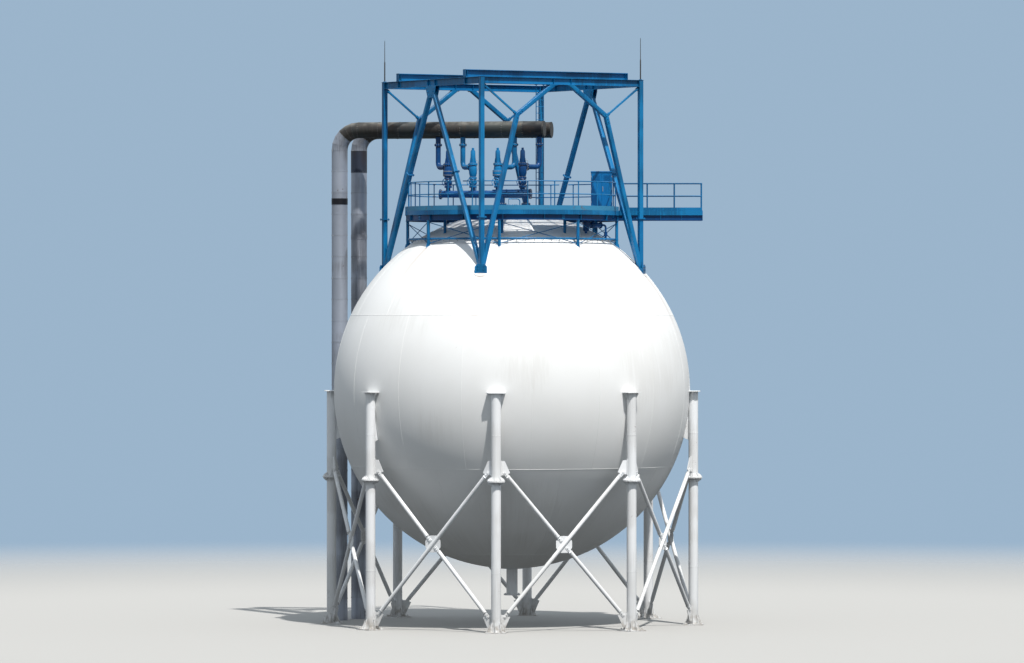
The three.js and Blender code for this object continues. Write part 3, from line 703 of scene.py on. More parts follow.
def deck_paint():
    """Blue paint on chequer plate, worn through on the walking faces."""
    finish = Finish("deck_paint", (0.020, 0.19, 0.38, 1))
    finish.layer(finish.tone, (0.05, 0.28, 0.46, 1), 0.5)
    finish.layer(finish.mask("dust_and_painted_highlight"), (0.27, 0.27, 0.25, 1), 0.5)
    worn = finish.layer(finish.mask("rust_spots", Scale=5.0, Cover=0.14), (0.13, 0.085, 0.06, 1), 0.8)
    graph = finish.graph
    x, y, _ = graph.split(finish.vector)
    waves = [graph.math(operation, x, y) for operation in ("ADD", "SUBTRACT")]
    pitch = 2 * math.pi / 0.06
    plus, minus = [graph.math("SINE", graph.math("MULTIPLY", wave, pitch)) for wave in waves]
    tears = graph.step(graph.math("MULTIPLY", plus, minus), 0.25, 0.55)
    return finish.done(0.5, worn, 0.3, bump=0.25, height=tears)


def cladding(name, colour, brown, green, dark, dust=0.0):
    """Weathered sheet-metal cladding with brown and green stains."""
    finish = Finish(name, colour)
    finish.layer(finish.tone, dimmed(colour, 0.72), 0.8)
    finish.layer(finish.mask("mottle", Scale=2.3), dimmed(colour, 0.8), 0.4)
    finish.layer(finish.mask("mottle", Scale=0.7), (0.10, 0.115, 0.085, 1), green)
    broad = finish.mask("rain_streaks", Across=9.0, Along=0.7, Low=0.2, High=0.45)
    finish.layer(broad, (0.095, 0.055, 0.035, 1), brown)
    fine = finish.mask("rain_streaks", Across=28.0, Along=1.1, Low=0.25, High=0.5)
    finish.layer(fine, (0.04, 0.038, 0.036, 1), dark)
    spots = finish.mask("rust_spots", Scale=7.0, Cover=0.08 + 0.1 * brown)
    rust = finish.layer(spots, (0.12, 0.055, 0.03, 1), 0.8)
    # Pale colour on upward faces: dust, and on the header also a painted highlight along its top.
    if dust:
        finish.layer(finish.mask("dust_and_painted_highlight"), (0.40, 0.39, 0.35, 1), dust)
    return finish.done(0.44, rust, 0.35, metallic=0.55, grain=30.0, bump=0.12)


def bare_steel(name, colour, cover):
    """Zinc-coated or weathered steel of bolts, rods and straps."""
    finish = Finish(name, colour)
    finish.layer(finish.tone, dimmed(colour, 0.6), 0.6)
    rust = finish.layer(finish.mask("rust_spots", Scale=25.0, Cover=cover), RUST, 0.9)
    return finish.done(0.45, rust, 0.35, metallic=0.7, grain=200.0, bump=0.1)


WHITE = shell_paint()
COLUMN_WHITE = column_paint()
BLUE = blue_paint("gantry_paint", (0.003, 0.130, 0.335, 1), (0.010, 0.225, 0.48, 1), 0.08, 0.12)
CABINET_BLUE = blue_paint("cabinet_paint", (0.002, 0.125, 0.34, 1), (0.006, 0.180, 0.44, 1), 0.04, 0.10)
NAVY = blue_paint("valve_paint", (0.002, 0.040, 0.150, 1), (0.005, 0.085, 0.26, 1), 0.10, 0.10)
DECK_BLUE = deck_paint()
# The last number of the stained and tarred claddings is pale dust on top, also a painted highlight.
STAINED = cladding("stained_cladding", (0.042, 0.047, 0.055, 1), 0.38, 0.3, 0.85, 0.75)
TARRED = cladding("tarred_cladding", (0.014, 0.014, 0.022, 1), 0.2, 0.1, 0.5, 0.3)
CLADDING = cladding("riser_cladding", (0.45, 0.49, 0.57, 1), 0.16, 0.06, 0.34)
SOOTED = cladding("sooted_cladding", (0.060, 0.074, 0.110, 1), 0.3, 0.3, 0.5)
ZINC = bare_steel("zinc_steel", (0.50, 0.50, 0.48, 1), 0.12)
DARK = bare_steel("dark_steel", (0.07, 0.068, 0.065, 1), 0.1)


# Geometry Nodes: one tree puts a small form on every point, another draws a round bar along paths.

def geometry_tree(name, inputs):
    tree = bpy.data.node_groups.new(name, "GeometryNodeTree")
    tree.interface.new_socket("Geometry", in_out="INPUT", socket_type="NodeSocketGeometry")
    for label, value in inputs.items():
        kind = "NodeSocketInt" if isinstance(value, int) else "NodeSocketFloat"
        tree.interface.new_socket(label, in_out="INPUT", socket_type=kind).default_value = value
    tree.interface.new_socket("Material", in_out="INPUT", socket_type="NodeSocketMaterial")
    tree.interface.new_socket("Geometry", in_out="OUTPUT", socket_type="NodeSocketGeometry")
    graph = Graph(tree)
    return tree, graph, graph.node("NodeGroupInput").outputs, graph.node("NodeGroupOutput")


def close_tree(graph, given, leave, geometry):
    real = graph.wired("GeometryNodeRealizeInstances", {"Geometry": geometry})
    coloured = graph.wired("GeometryNodeSetMaterial", {"Geometry": real, "Material": given["Material"]})
    graph.feed(leave.inputs["Geometry"], coloured)


def cylinder(graph, sides, radius, depth, height):
    """A round form on the Z axis whose middle is at the given height."""
    inputs = {"Vertices": sides, "Radius": radius, "Depth": depth}
    form = graph.wired("GeometryNodeMeshCylinder", inputs)
    place = {"Geometry": form, "Translation": graph.combine(0.0, 0.0, height)}
    return graph.wired("GeometryNodeTransform", place)


def joined(graph, forms):
    join = graph.node("GeometryNodeJoinGeometry")
    for form in forms:
        graph.tree.links.new(form, join.inputs[0])
    return join.outputs[0]


def bolt_form(graph, given):
    """A washer, a nut and the end of the bolt, for a bolt whose diameter is 1."""
    washer = cylinder(graph, 12, given["Washer Radius"], 0.3, 0.05)
    nut = cylinder(graph, 6, given["Nut Radius"], given["Nut Height"], 0.6)
    stud = cylinder(graph, 8, 0.5, given["Stud Length"], 0.75)
    return joined(graph, [washer, nut, stud])


def rivet_form(graph, given):
    inputs = {"Segments": 8, "Rings": 4, "Radius": given["Head Radius"]}
    return graph.wired("GeometryNodeMeshUVSphere", inputs)


def nozzle_form(graph, given):
    """A spray nozzle: a socket, a body and a flared mouth."""
    socket = cylinder(graph, 10, given["Socket Radius"], 0.05, 0.02)
    neck = cylinder(graph, 8, 0.011, given["Neck Length"], 0.06)
    inputs = {"Vertices": 10, "Radius Top": given["Mouth Radius"], "Radius Bottom": 0.012, "Depth": 0.035}
    cone = graph.wired("GeometryNodeMeshCone", inputs)
    mouth = graph.wired("GeometryNodeTransform", {"Geometry": cone, "Translation": (0.0, 0.0, 0.085)})
    return joined(graph, [socket, neck, mouth])


def slat_form(graph, given):
    """A flat bar that is 1 long, for gratings and louvres."""
    size = graph.combine(given["Depth"], given["Thickness"], 1.0)
    return graph.wired("GeometryNodeMeshCube", {"Size": size})


def rung_form(graph, given):
    return cylinder(graph, 10, given["Radius"], 1.0, 0.0)


def rail_post_form(graph, given):
    """A tubular post with a foot plate, a collar at its foot and a knuckle at each rail."""
    post = cylinder(graph, 14, given["Post Radius"], given["Post Height"], given["Middle Height"])
    foot = cylinder(graph, 12, given["Foot Radius"], 0.012, 0.007)
    collars = [cylinder(graph, 12, 0.033, 0.06, height) for height in (0.04, 0.66, 1.2)]
    return joined(graph, [post, foot, *collars])


def placing_tree(name, inputs, form):
    """Puts the form on each point, with its Z axis along "axis" and scaled by "stretch"."""
    tree, graph, given, leave = geometry_tree(name, inputs)
    axis, stretch = [
        graph.wired("GeometryNodeInputNamedAttribute", {"Name": label}, data_type="FLOAT_VECTOR")
        for label in ("axis", "stretch")]
    turn = graph.wired("FunctionNodeAlignRotationToVector", {"Vector": axis}, axis="Z")
    copies = graph.wired("GeometryNodeInstanceOnPoints", {
        "Points": given["Geometry"], "Instance": form(graph, given), "Rotation": turn, "Scale": stretch})
    close_tree(graph, given, leave, copies)
    return tree


def bar_tree():
    """Draws a closed round bar along each path."""
    tree, graph, given, leave = geometry_tree("round_bars", {"Radius": 0.02, "Sides": 12})
    curve = graph.wired("GeometryNodeMeshToCurve", {"Mesh": given["Geometry"]})
    size = {"Resolution": given["Sides"], "Radius": given["Radius"]}
    outline = graph.wired("GeometryNodeCurvePrimitiveCircle", size)
    inputs = {"Curve": curve, "Profile Curve": outline, "Fill Caps": True}
    close_tree(graph, given, leave, graph.wired("GeometryNodeCurveToMesh", inputs))
    return tree


TREES = {
    "bolt": placing_tree(
        "bolts",
        {"Washer Radius": 1.0, "Nut Radius": 0.92, "Nut Height": 0.8, "Stud Length": 1.5},
        bolt_form),
    "rivet": placing_tree("rivets", {"Head Radius": 0.012}, rivet_form),
    "nozzle": placing_tree(
        "spray_nozzles",
        {"Socket Radius": 0.02, "Neck Length": 0.06, "Mouth Radius": 0.026},
        nozzle_form),
    "slat": placing_tree("slats", {"Depth": 0.03, "Thickness": 0.005}, slat_form),
    "rung": placing_tree("rungs", {"Radius": 0.012}, rung_form),
    "rail_post": placing_tree(
        "rail_posts",
        {"Post Radius": 0.025, "Post Height": 1.22, "Middle Height": 0.61, "Foot Radius": 0.07},
        rail_post_form),
    "bar": bar_tree(),
}


def from_tree(name, tree, mesh, material, values=None):
    """Runs a tree on a mesh of points or paths and keeps the result as a plain mesh."""
    source = linked(name + "_source", mesh)
    maker = source.modifiers.new("maker", "NODES")
    maker.node_group = TREES[tree]
    given = {"Material": material, **(values or {})}
    for socket in TREES[tree].interface.items_tree:
        if socket.in_out == "INPUT" and socket.name in given:
            maker[socket.identifier] = given[socket.name]
    evaluated = source.evaluated_get(bpy.context.evaluated_depsgraph_get())
    result = bpy.data.meshes.new_from_object(evaluated)
    bpy.data.objects.remove(source)
    result.name = name
    face_outwards(result, 40)
    for attribute in ("axis", "stretch"):
        if attribute in result.attributes:
            result.attributes.remove(result.attributes[attribute])
    piece = linked(name, result)
    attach(piece, "root")


def placed(name, tree, places, material, values=None):
    """Puts a small form at each place, which holds its point, axis and stretch."""
    mesh = bpy.data.meshes.new(name)
    mesh.from_pydata([point for point, _, _ in places], [], [])
    for label, column in (("axis", 1), ("stretch", 2)):
        data = mesh.attributes.new(label, "FLOAT_VECTOR", "POINT")
        data.data.foreach_set("vector", [value for place in places for value in place[column]])
    tone = mesh.attributes.new("tone", "FLOAT", "POINT")
    tone.data.foreach_set("value", [chance.random() for _ in places])
    from_tree(name, tree, mesh, material, values)


def bars(name, paths, radius, material, sides):
    """Round bars along paths. A path whose last point equals its first is a ring."""
    points, edges, tones = [], [], []
    for path in paths:
        start = len(points)
        ring = (Vector(path[0]) - Vector(path[-1])).length < 1e-6
        kept = path[:-1] if ring else path
        points += [Vector(point) for point in kept]
        edges += [(start + i, start + i + 1) for i in range(len(kept) - 1)]
        if ring:
            edges.append((start + len(kept) - 1, start))
        tones += [chance.random()] * len(kept)
    mesh = bpy.data.meshes.new(name)
    mesh.from_pydata(points, edges, [])
    tone = mesh.attributes.new("tone", "FLOAT", "POINT")
    tone.data.foreach_set("value", tones)
    from_tree(name, "bar", mesh, material, {"Radius": radius, "Sides": sides})


# The shell

ZONES = {"crown_cap": (0, 25), "upper_zone": (25, 65), "equator_zone": (65, 115),
         "lower_zone": (115, 155), "bottom_cap": (155, 180)}
PETALS = 16
SHELL_SIDES = 192
ROW = 2.5


def on_sphere(radius, polar, azimuth):
    """A point on a sphere, at an angle from its crown and an azimuth."""
    angle = math.radians(polar)
    return around(radius * math.sin(angle), azimuth, radius * math.cos(angle))


def petal_shift(name):
    """How far the petals of a zone are moved on, as a share of one petal."""
    return 0.5 if name == "equator_zone" else 0.0


def shell_zone(name, start, end):
    """One zone of the double-faced shell, its petals each a little different in tone."""
    rows = round((end - start) / ROW)
    angles = [math.radians(start + (end - start) * i / rows) for i in range(rows + 1)]
    outer, inner = [
        [(radius * math.sin(angle), radius * math.cos(angle)) for angle in angles]
        for radius in (SPHERE, SPHERE - WALL)]
    profile = inner[::-1] + outer if end == 180 else outer + inner[::-1]
    closed = 0 < start and end < 180
    petals = [chance.random() for _ in range(PETALS)] if closed else [chance.random()] * PETALS
    turns = [i * PETALS / SHELL_SIDES + petal_shift(name) for i in range(SHELL_SIDES)]
    around_once = [petals[int(turn) % PETALS] for turn in turns]
    strips = len(profile) if closed else len(profile) - 1
    work = Work(PLATFORM)
    work.lathe(profile, sides=SHELL_SIDES, loop=closed, tone=around_once * strips)
    return work


def pad(work, direction, radius, thick, centre=(0, 0, 0), sides=40, **options):
    """A round plate that follows the sphere where the direction from its centre meets it."""
    radii = [radius * i / 5 for i in range(6)]
    face = [(r, math.sqrt((SPHERE + thick) ** 2 - r * r)) for r in radii]
    back = [(r, math.sqrt((SPHERE - 0.01) ** 2 - r * r)) for r in reversed(radii)]
    # The hint leans a little, so that it never lies along the direction of a pad at the top or bottom.
    lean = (0, 0.01, 1)
    work.lathe(face + back, facing(direction, centre, lean), sides, **options)


def manhole(work):
    """The manhole on the crown: neck, flange, cover, lifting arm and handle."""
    x, y = MANHOLE
    foot = height_on_sphere(x, y) - 0.05
    work.disc(MANHOLE, foot, MANHOLE_TOP - 0.03, MANHOLE_RADIUS, 40)
    work.disc(MANHOLE, MANHOLE_TOP - 0.115, MANHOLE_TOP - 0.066, MANHOLE_COVER, 40)
    work.disc(MANHOLE, MANHOLE_TOP - 0.062, MANHOLE_TOP - 0.012, MANHOLE_COVER, 40)
    work.disc(MANHOLE, MANHOLE_TOP - 0.012, MANHOLE_TOP, MANHOLE_COVER - 0.09, 40)
    for height, down in ((MANHOLE_TOP - 0.012, False), (MANHOLE_TOP - 0.115, True)):
        work.bolt_circle("platform", MANHOLE, MANHOLE_COVER - 0.045, 20, height, 0.026, down=down)
    arm = [(x + 0.5, y, foot + 0.02), (x + 0.5, y, MANHOLE_TOP + 0.28), (x, y, MANHOLE_TOP + 0.28)]
    work.tube(rounded_path(arm, 0.12, 6), 0.024, 12, finish=BLUE)
    work.tube([(x, y, MANHOLE_TOP - 0.01), (x, y, MANHOLE_TOP + 0.27)], 0.012, 10, finish=BLUE)
    work.disc((x + 0.5, y), foot - 0.02, foot + 0.1, 0.04, 16, finish=BLUE)


def make_shell():
    for name, (start, end) in ZONES.items():
        work = shell_zone(name, start, end)
        if name == "crown_cap":
            work.place = VESSEL
            manhole(work)
            pad(work, (*MANHOLE, height_on_sphere(*MANHOLE)), 0.6, 0.02)
        finished(name + "_plates", work, WHITE, name)


# Weld seams are round bars, sunk so that they stand 8 mm out of the plates.
SEAM = SPHERE - 0.007
SEAM_RADIUS = 0.015


def level_seams():
    """The seams round the sphere, between its zones."""
    edges = [start for start, _ in ZONES.values()][1:]
    steps = round(360 / ROW)
    return [[on_sphere(SEAM, polar, ROW * i) for i in range(steps + 1)] for polar in edges]


def petal_seams():
    """The seams down the sphere, between the petals of its three middle zones."""
    paths = []
    for name, (start, end) in list(ZONES.items())[1:4]:
        rows = round((end - start) / ROW)
        polars = [start + (end - start) * k / rows for k in range(rows + 1)]
        for i in range(PETALS):
            azimuth = 360 / PETALS * (i + petal_shift(name))
            paths.append([on_sphere(SEAM, polar, azimuth) for polar in polars])
    return paths


def cap_seams():
    """Two straight seams across each cap."""
    paths = []
    reach = SPHERE * math.sin(math.radians(ZONES["crown_cap"][1]))
    for side in (-1, 1):
        across = side * reach / 3
        half = math.sqrt(reach ** 2 - across ** 2)
        for cap in (-1, 1):
            line = [half * (i / 12 - 1) for i in range(25)]
            paths.append([(across, y, cap * math.sqrt(SEAM ** 2 - across ** 2 - y * y)) for y in line])
    return paths


def make_welds():
    paths = level_seams() + petal_seams() + cap_seams()
    turned_paths = [[PLATFORM @ Vector(point) for point in path] for path in paths]
    bars("shell_welds", turned_paths, SEAM_RADIUS, WHITE, 6)


# Columns and braces

def triangle_rib(work, foot, direction, reach, height, thick, up=1):
    """A stiffener: a plate with a cut corner that stands against an upright face."""
    along = Vector(direction).normalized()
    outline = [(0, 0), (reach, 0), (reach, 0.05 * up), (0.03, height * up), (0, height * up)]
    outline = outline if up > 0 else outline[::-1]
    across = Vector(UP).cross(along)
    shift = Matrix.Translation(Vector(foot) + across * thick / 2)
    work.prism(outline, thick, shift @ axes(along, UP, -across))


def column_head(work, axis):
    """The cap plate with the ribs that carry its two wings, and the web to the sphere."""
    y = axis[1]
    head = CENTRE - CAP_THICK
    overhang = 0.09
    front = y - COLUMN_RADIUS - overhang
    wing = CAP_WIDTH / 2
    clip = 0.09
    plate = [(-wing, front + clip), (-wing + clip, front), (wing - clip, front), (wing, front + clip),
             (wing, front + CAP_DEPTH), (-wing, front + CAP_DEPTH)]
    work.prism(plate, CAP_THICK, Matrix.Translation((0, 0, head)))
    for side in (-1, 1):
        triangle_rib(work, (side * (COLUMN_RADIUS - 0.01), y, head), (side, 0, 0), 0.19, 0.3, 0.02, up=-1)
    # The web that fills the narrow gap where the sphere curves away from the column
    inner = COLUMN_CIRCLE - COLUMN_RADIUS
    heights = [CENTRE - 0.7 - 0.1 * i for i in range(15)]
    curve = [(math.sqrt(SPHERE ** 2 - (CENTRE - z) ** 2) - 0.01, z) for z in heights]
    outline = [(inner + 0.02, heights[0]), *curve, (inner + 0.02, heights[-1] - 0.12)]
    work.prism(outline, 0.024, Matrix.Translation((0.012, 0, 0)) @ TO_LEFT)


def column_splice(work, axis):
    """Two flanges with bolts."""
    for low in (SPLICE_LOW, SPLICE_HEIGHT - SPLICE_FLANGE):
        work.disc(axis, low, low + SPLICE_FLANGE, SPLICE_RADIUS, 48)
    bolts = SPLICE_RADIUS - 0.07
    work.bolt_circle("column", axis, bolts, 16, SPLICE_HEIGHT, 0.03)
    work.bolt_circle("column", axis, bolts, 16, SPLICE_LOW, 0.03, down=True)


def column_ribs(work, axis):
    """Ribs above and below the splice, and gussets on the base plate."""
    gusset_reach = BASE_WIDTH / 2 - 0.06 - COLUMN_RADIUS
    for i in range(8):
        out = around(1, 45 * i)
        at = Vector((*axis, 0)) + out * (COLUMN_RADIUS - 0.008)
        triangle_rib(work, (*at.xy, SPLICE_HEIGHT), out, 0.16, 0.16, 0.014)
        triangle_rib(work, (*at.xy, SPLICE_LOW), out, 0.16, 0.16, 0.014, up=-1)
        triangle_rib(work, (*at.xy, BASE_THICK), out, gusset_reach, BASE_GUSSET, 0.024)


def column_foot(work, axis):
    """The base plate, with anchor bolts on chairs, and an earthing lug above it."""
    y = axis[1]
    half = BASE_WIDTH / 2
    work.square(axis, half, 0, BASE_THICK)
    for sx in (-1, 1):
        for sy in (-1, 1):
            at = (sx * (half - 0.13), y + sy * (half - 0.13))
            work.square(at, 0.06, BASE_THICK, BASE_THICK + 0.025)
            work.bolt("column", (*at, BASE_THICK + 0.024), size=0.045)
    work.box((COLUMN_RADIUS - 0.02, y - 0.03, 0.45), (COLUMN_RADIUS + 0.05, y + 0.03, 0.458), finish=ZINC)


def column(index):
    work = Work(turned(COLUMN_TURN + 360 / COLUMNS * index))
    axis = (0, -COLUMN_CIRCLE)
    work.disc(axis, BASE_THICK, SPLICE_HEIGHT - 0.038, COLUMN_RADIUS, 48)
    work.disc(axis, SPLICE_HEIGHT - 0.035, CENTRE - CAP_THICK, COLUMN_RADIUS, 48)
    # Welds round the shaft
    for height in (2.6, CENTRE - 1.9):
        work.disc(axis, height, height + 0.03, COLUMN_RADIUS + 0.006, 48)
    column_head(work, axis)
    column_splice(work, axis)
    column_ribs(work, axis)
    column_foot(work, axis)
    name = f"column_{index + 1}"
    finished(name + "_steelwork", work, COLUMN_WHITE, name, bevel=0.003)


BAY_HALF = COLUMN_CIRCLE * math.sin(math.pi / COLUMNS)
BAY_PLANE = -COLUMN_CIRCLE * math.cos(math.pi / COLUMNS)


def brace_gusset(work, side, height, lean):
    """The plate on a column that takes the end of a brace, with a backing strip."""
    edge = BAY_HALF - COLUMN_RADIUS + 0.004
    half = GUSSET / 2
    outline = [(edge, -half), (edge - 0.3 * GUSSET, -half), (edge - 0.7 * GUSSET, lean * GUSSET),
               (edge - 0.3 * GUSSET, half), (edge, half)]
    outline = [(side * x, z) for x, z in (outline if side < 0 else outline[::-1])]
    shift = Matrix.Translation((0, BAY_PLANE + BRACE_PLATE / 2, height))
    work.prism(outline, BRACE_PLATE, shift @ TO_FRONT)
    at = side * (BAY_HALF - COLUMN_RADIUS + 0.006)
    left, right = sorted((at, at - side * 0.02))
    low, high = height - half - 0.03, height + half + 0.03
    work.box((left, BAY_PLANE - 0.07, low), (right, BAY_PLANE + 0.07, high))


def fork(work, tip, direction):
    """Two cheek plates that carry a tube's end to a gusset plate, with bolts through both."""
    along = direction.normalized()
    end = tip + along * 0.34
    for side in (-1, 1):
        offset = Vector((0, side * 0.024, 0))
        work.bar(tip + offset, end + offset, rectangle(0.15, 0.018), ALONG_Y)
        for distance in (0.07, 0.18):
            at = tip + along * distance + offset + Vector((0, side * 0.009, 0))
            work.bolt("column", at, (0, side, 0), 0.03)
    work.bar(end - along * 0.05, end - along * 0.03, circle(BRACE_RADIUS + 0.012, 28), ALONG_Y)


def cross_brace(index):
    work = Work(turned(COLUMN_TURN + 360 / COLUMNS * (index + 0.5)))
    reach = BAY_HALF - COLUMN_RADIUS
    middle = Vector((0, BAY_PLANE, (BRACE_LOWER + BRACE_UPPER) / 2))
    tube = circle(BRACE_RADIUS, 28)
    for side in (-1, 1):
        low = Vector((side * reach, BAY_PLANE, BRACE_LOWER))
        high = Vector((-side * reach, BAY_PLANE, BRACE_UPPER))
        along = (high - low).normalized()
        fork(work, low + along * 0.22, along)
        fork(work, high - along * 0.22, -along)
        near, far = low + along * 0.52, high - along * 0.52
        if side < 0:
            work.bar(near, far, tube, ALONG_Y)
        else:
            # The second tube is parted at the crossing and bolted to the middle plate.
            for end, direction in ((near, -along), (far, along)):
                fork(work, middle + direction * 0.15, direction)
                work.bar(middle + direction * 0.45, end, tube, ALONG_Y)
    shift = Matrix.Translation(middle + Vector((0, BRACE_PLATE / 2, 0)))
    work.prism(circle(0.4, 8, 0.5), BRACE_PLATE, shift @ TO_FRONT)
    for height, lean in ((BRACE_LOWER, 0.35), (BRACE_UPPER, -0.35)):
        for side in (-1, 1):
            brace_gusset(work, side, height, lean)
    name = f"cross_brace_{index + 1}"
    finished(name + "_rods", work, COLUMN_WHITE, name, bevel=0.002)


# The hoist gantry

FOOT = height_on_sphere(GANTRY_HALF, GANTRY_HALF)
CORNERS = {"front": (-1, -1), "right": (1, -1), "back": (1, 1), "left": (-1, 1)}
UNDER_BEAM = BEAM_TOP - BEAM_DEPTH


def plate_pair(work, at, axis, size, hint):
    """A bolted joint in a member: two square end plates with a bolt at each corner."""
    thick = 0.02
    at, axis = Vector(at), Vector(axis).normalized()
    for low, high in ((-thick, -GAP), (GAP, thick)):
        work.bar(at + axis * low, at + axis * high, rectangle(size, size), hint)
    place = facing(axis, at, hint)
    reach = size / 2 - 0.032
    for x in (-reach, reach):
        for y in (-reach, reach):
            for side in (1, -1):
                work.bolt("gantry", place @ Vector((x, y, side * thick)), axis * side)


def post_shoe(work, x, y):
    """A pad on the sphere, and bolted upright plates on the outer side of the post."""
    pad(work, (x, y, FOOT), 0.42, 0.018, finish=WHITE)
    outward = Matrix.Translation((x, y, 0)) @ Matrix.Rotation(math.atan2(x, -y), 4, "Z")
    top = FOOT + 0.24
    shoe = [(-0.28, -0.62), (0.28, -0.62), (0.28, -0.12), (0.16, 0), (-0.16, 0), (-0.28, -0.12)]
    work.prism(shoe, 0.03, outward @ Matrix.Translation((0, -0.145, top)) @ TO_FRONT)
    work.box((-0.015, -0.15, top - 0.62), (0.015, -0.02, top), outward)
    for side in (-1, 1):
        cheek = side * 0.2
        work.box((cheek - 0.01, -0.15, top - 0.62), (cheek + 0.01, 0.05, top - 0.16), outward)
        for height in (0.1, 0.24):
            work.bolt("gantry", (side * 0.13, -0.175, top - height), (0, -1, 0), 0.026, outward)


def lightning_rod(work, x, y):
    """A thin stepped rod on a bolted foot."""
    work.disc((x, y), BEAM_TOP, BEAM_TOP + 0.02, 0.085, 20)
    heights = (BEAM_TOP, BEAM_TOP + 0.9, BEAM_TOP + 0.92, ROD_TOP - 0.08, ROD_TOP)
    radii = [ROD_RADIUS, ROD_RADIUS, 0.017, 0.012, 0.002]
    work.tube([(x, y, height) for height in heights], radii, 12, finish=DARK)
    work.bolt_circle("gantry", (x, y), 0.06, 4, BEAM_TOP + 0.02, 0.014)


def gantry_post(corner):
    sx, sy = CORNERS[corner]
    x, y = sx * GANTRY_HALF, sy * GANTRY_HALF
    work = Work(GANTRY)
    joint = 7.7
    section = rounded(POST, 0.022)
    work.bar((x, y, FOOT - 0.2), (x, y, joint), section, ALONG_Y)
    work.bar((x, y, joint), (x, y, BEAM_TOP - 0.012), section, ALONG_Y)
    plate_pair(work, (x, y, joint), UP, 0.32, ALONG_Y)
    work.square((x, y), 0.115, BEAM_TOP - 0.012, BEAM_TOP)
    post_shoe(work, x, y)
    if corner in ("right", "left"):
        lightning_rod(work, x, y)
    finished(f"gantry_post_{corner}_steel", work, BLUE, f"gantry_post_{corner}", bevel=0.003)


def apex_plates(work, x):
    """A bolted plate on each side of an A-frame's apex, and the plate under the beam."""
    apex = [(-0.42, 0), (0.42, 0), (0.42, -0.1), (0.26, -0.52), (-0.26, -0.52), (-0.42, -0.1)]
    for face in (-1, 1):
        low, high = sorted((x + face * (LEG / 2 + GAP), x + face * (LEG / 2 + 0.017)))
        shift = Matrix.Translation((low, 0, UNDER_BEAM - 0.002))
        work.prism(apex, high - low, shift @ TO_RIGHT)
        outer = high if face > 0 else low
        for sy in (-1, 1):
            for k in range(3):
                at = (outer, sy * (0.3 - 0.09 * k), UNDER_BEAM - (0.08 + 0.16 * k))
                work.bolt("gantry", at, (face, 0, 0), 0.026)
    work.box((x - 0.1, -0.46, UNDER_BEAM - 0.02), (x + 0.1, 0.46, UNDER_BEAM - GAP))


def a_frame(name, side):
    work = Work(GANTRY)
    x = side * GANTRY_HALF
    section = rounded(LEG, 0.02)
    for end in (-1, 1):
        foot = Vector((x, end * GANTRY_HALF, FOOT - 0.06))
        top = Vector((x, -end * 0.12, UNDER_BEAM + 0.2))
        roof = foot + (top - foot) * ((UNDER_BEAM - foot.z) / (top.z - foot.z))
        work.bar(foot, roof, section, ALONG_X, cuts=(None, UP))
        along = (top - foot).normalized()
        plate_pair(work, foot + along * 4.9, along, 0.3, ALONG_X)
        # A gusset between the leg's foot and the post
        inward = -end
        rib = [(0, 0), (0.42 * inward, 0.78), (0.02 * inward, 0.92), (0, 0.92)]
        rib = rib if inward < 0 else rib[::-1]
        shift = Matrix.Translation((x - 0.01, end * (GANTRY_HALF - POST / 2 + 0.01), FOOT + 0.1))
        work.prism(rib, 0.02, shift @ TO_RIGHT)
    apex_plates(work, x)
    finished(name + "_steel", work, BLUE, name, bevel=0.003)


def knee_brace(work, knee, corner_point):
    """The thin brace from the knee to the corner above, an angle bar with end plates."""
    along = (corner_point - knee).normalized()
    start, end = knee + along * 0.12, corner_point - along * 0.12
    half, inside = 0.04, -0.032
    angle_bar = [(-half, -half), (half, -half), (half, inside),
                 (inside, inside), (inside, half), (-half, half)]
    work.bar(start, end, angle_bar, ALONG_Y)
    for point in (start, end):
        work.bar(point - along * 0.1, point + along * 0.1, rectangle(0.15, 0.014), ALONG_Y)


def knee_cheeks(work, knee, directions):
    """Bolted plates on both sides of the knee, along each part of the leg."""
    for face in (-1, 1):
        offset = Vector((0, face * (LEG / 2 + GAP), 0))
        surface = Vector((0, face * 0.007, 0))
        for direction in directions:
            end = knee + offset + direction * 0.36
            work.bar(knee + offset, end, rectangle(0.17, 0.014), ALONG_Y)
            for distance in (0.13, 0.27):
                work.bolt("gantry", knee + offset + direction * distance + surface, (0, face, 0))


def knee_end_plate(work, x, y):
    """The plate between the leg and the beam above, with its bolts."""
    low, high = x - 0.2, x + 0.2
    work.box((low, y - 0.1, UNDER_BEAM - 0.02), (high, y + 0.1, UNDER_BEAM - GAP))
    for bx in (low + 0.04, high - 0.04):
        for by in (-0.06, 0.06):
            work.bolt("gantry", (bx, y + by, UNDER_BEAM - 0.02), (0, 0, -1), 0.022)


def knee_leg(index, corner):
    sx, sy = CORNERS[corner]
    y = sy * GANTRY_HALF
    work = Work(GANTRY)

    def at(along, height):
        return Vector((sx * (GANTRY_HALF - along), y, height))

    section = rounded(LEG, 0.02)
    foot, knee = at(-0.016, FOOT - 0.06), at(KNEE_ALONG, KNEE_HEIGHT)
    beyond = at(KNEE_TOP_ALONG + 0.26, UNDER_BEAM + 0.187)
    roof = knee + (beyond - knee) * ((UNDER_BEAM - knee.z) / (beyond.z - knee.z))
    lower, upper = (knee - foot).normalized(), (roof - knee).normalized()
    mitre = (lower + upper).normalized()
    work.bar(foot, knee, section, ALONG_Y, cuts=(None, mitre))
    work.bar(knee, roof, section, ALONG_Y, cuts=(mitre, UP))
    knee_brace(work, knee, at(0.06, UNDER_BEAM - 0.02))
    knee_cheeks(work, knee, (-lower, upper))
    knee_end_plate(work, roof.x, y)
    finished(f"knee_leg_{index}_steel", work, BLUE, f"knee_leg_{index}", bevel=0.003)


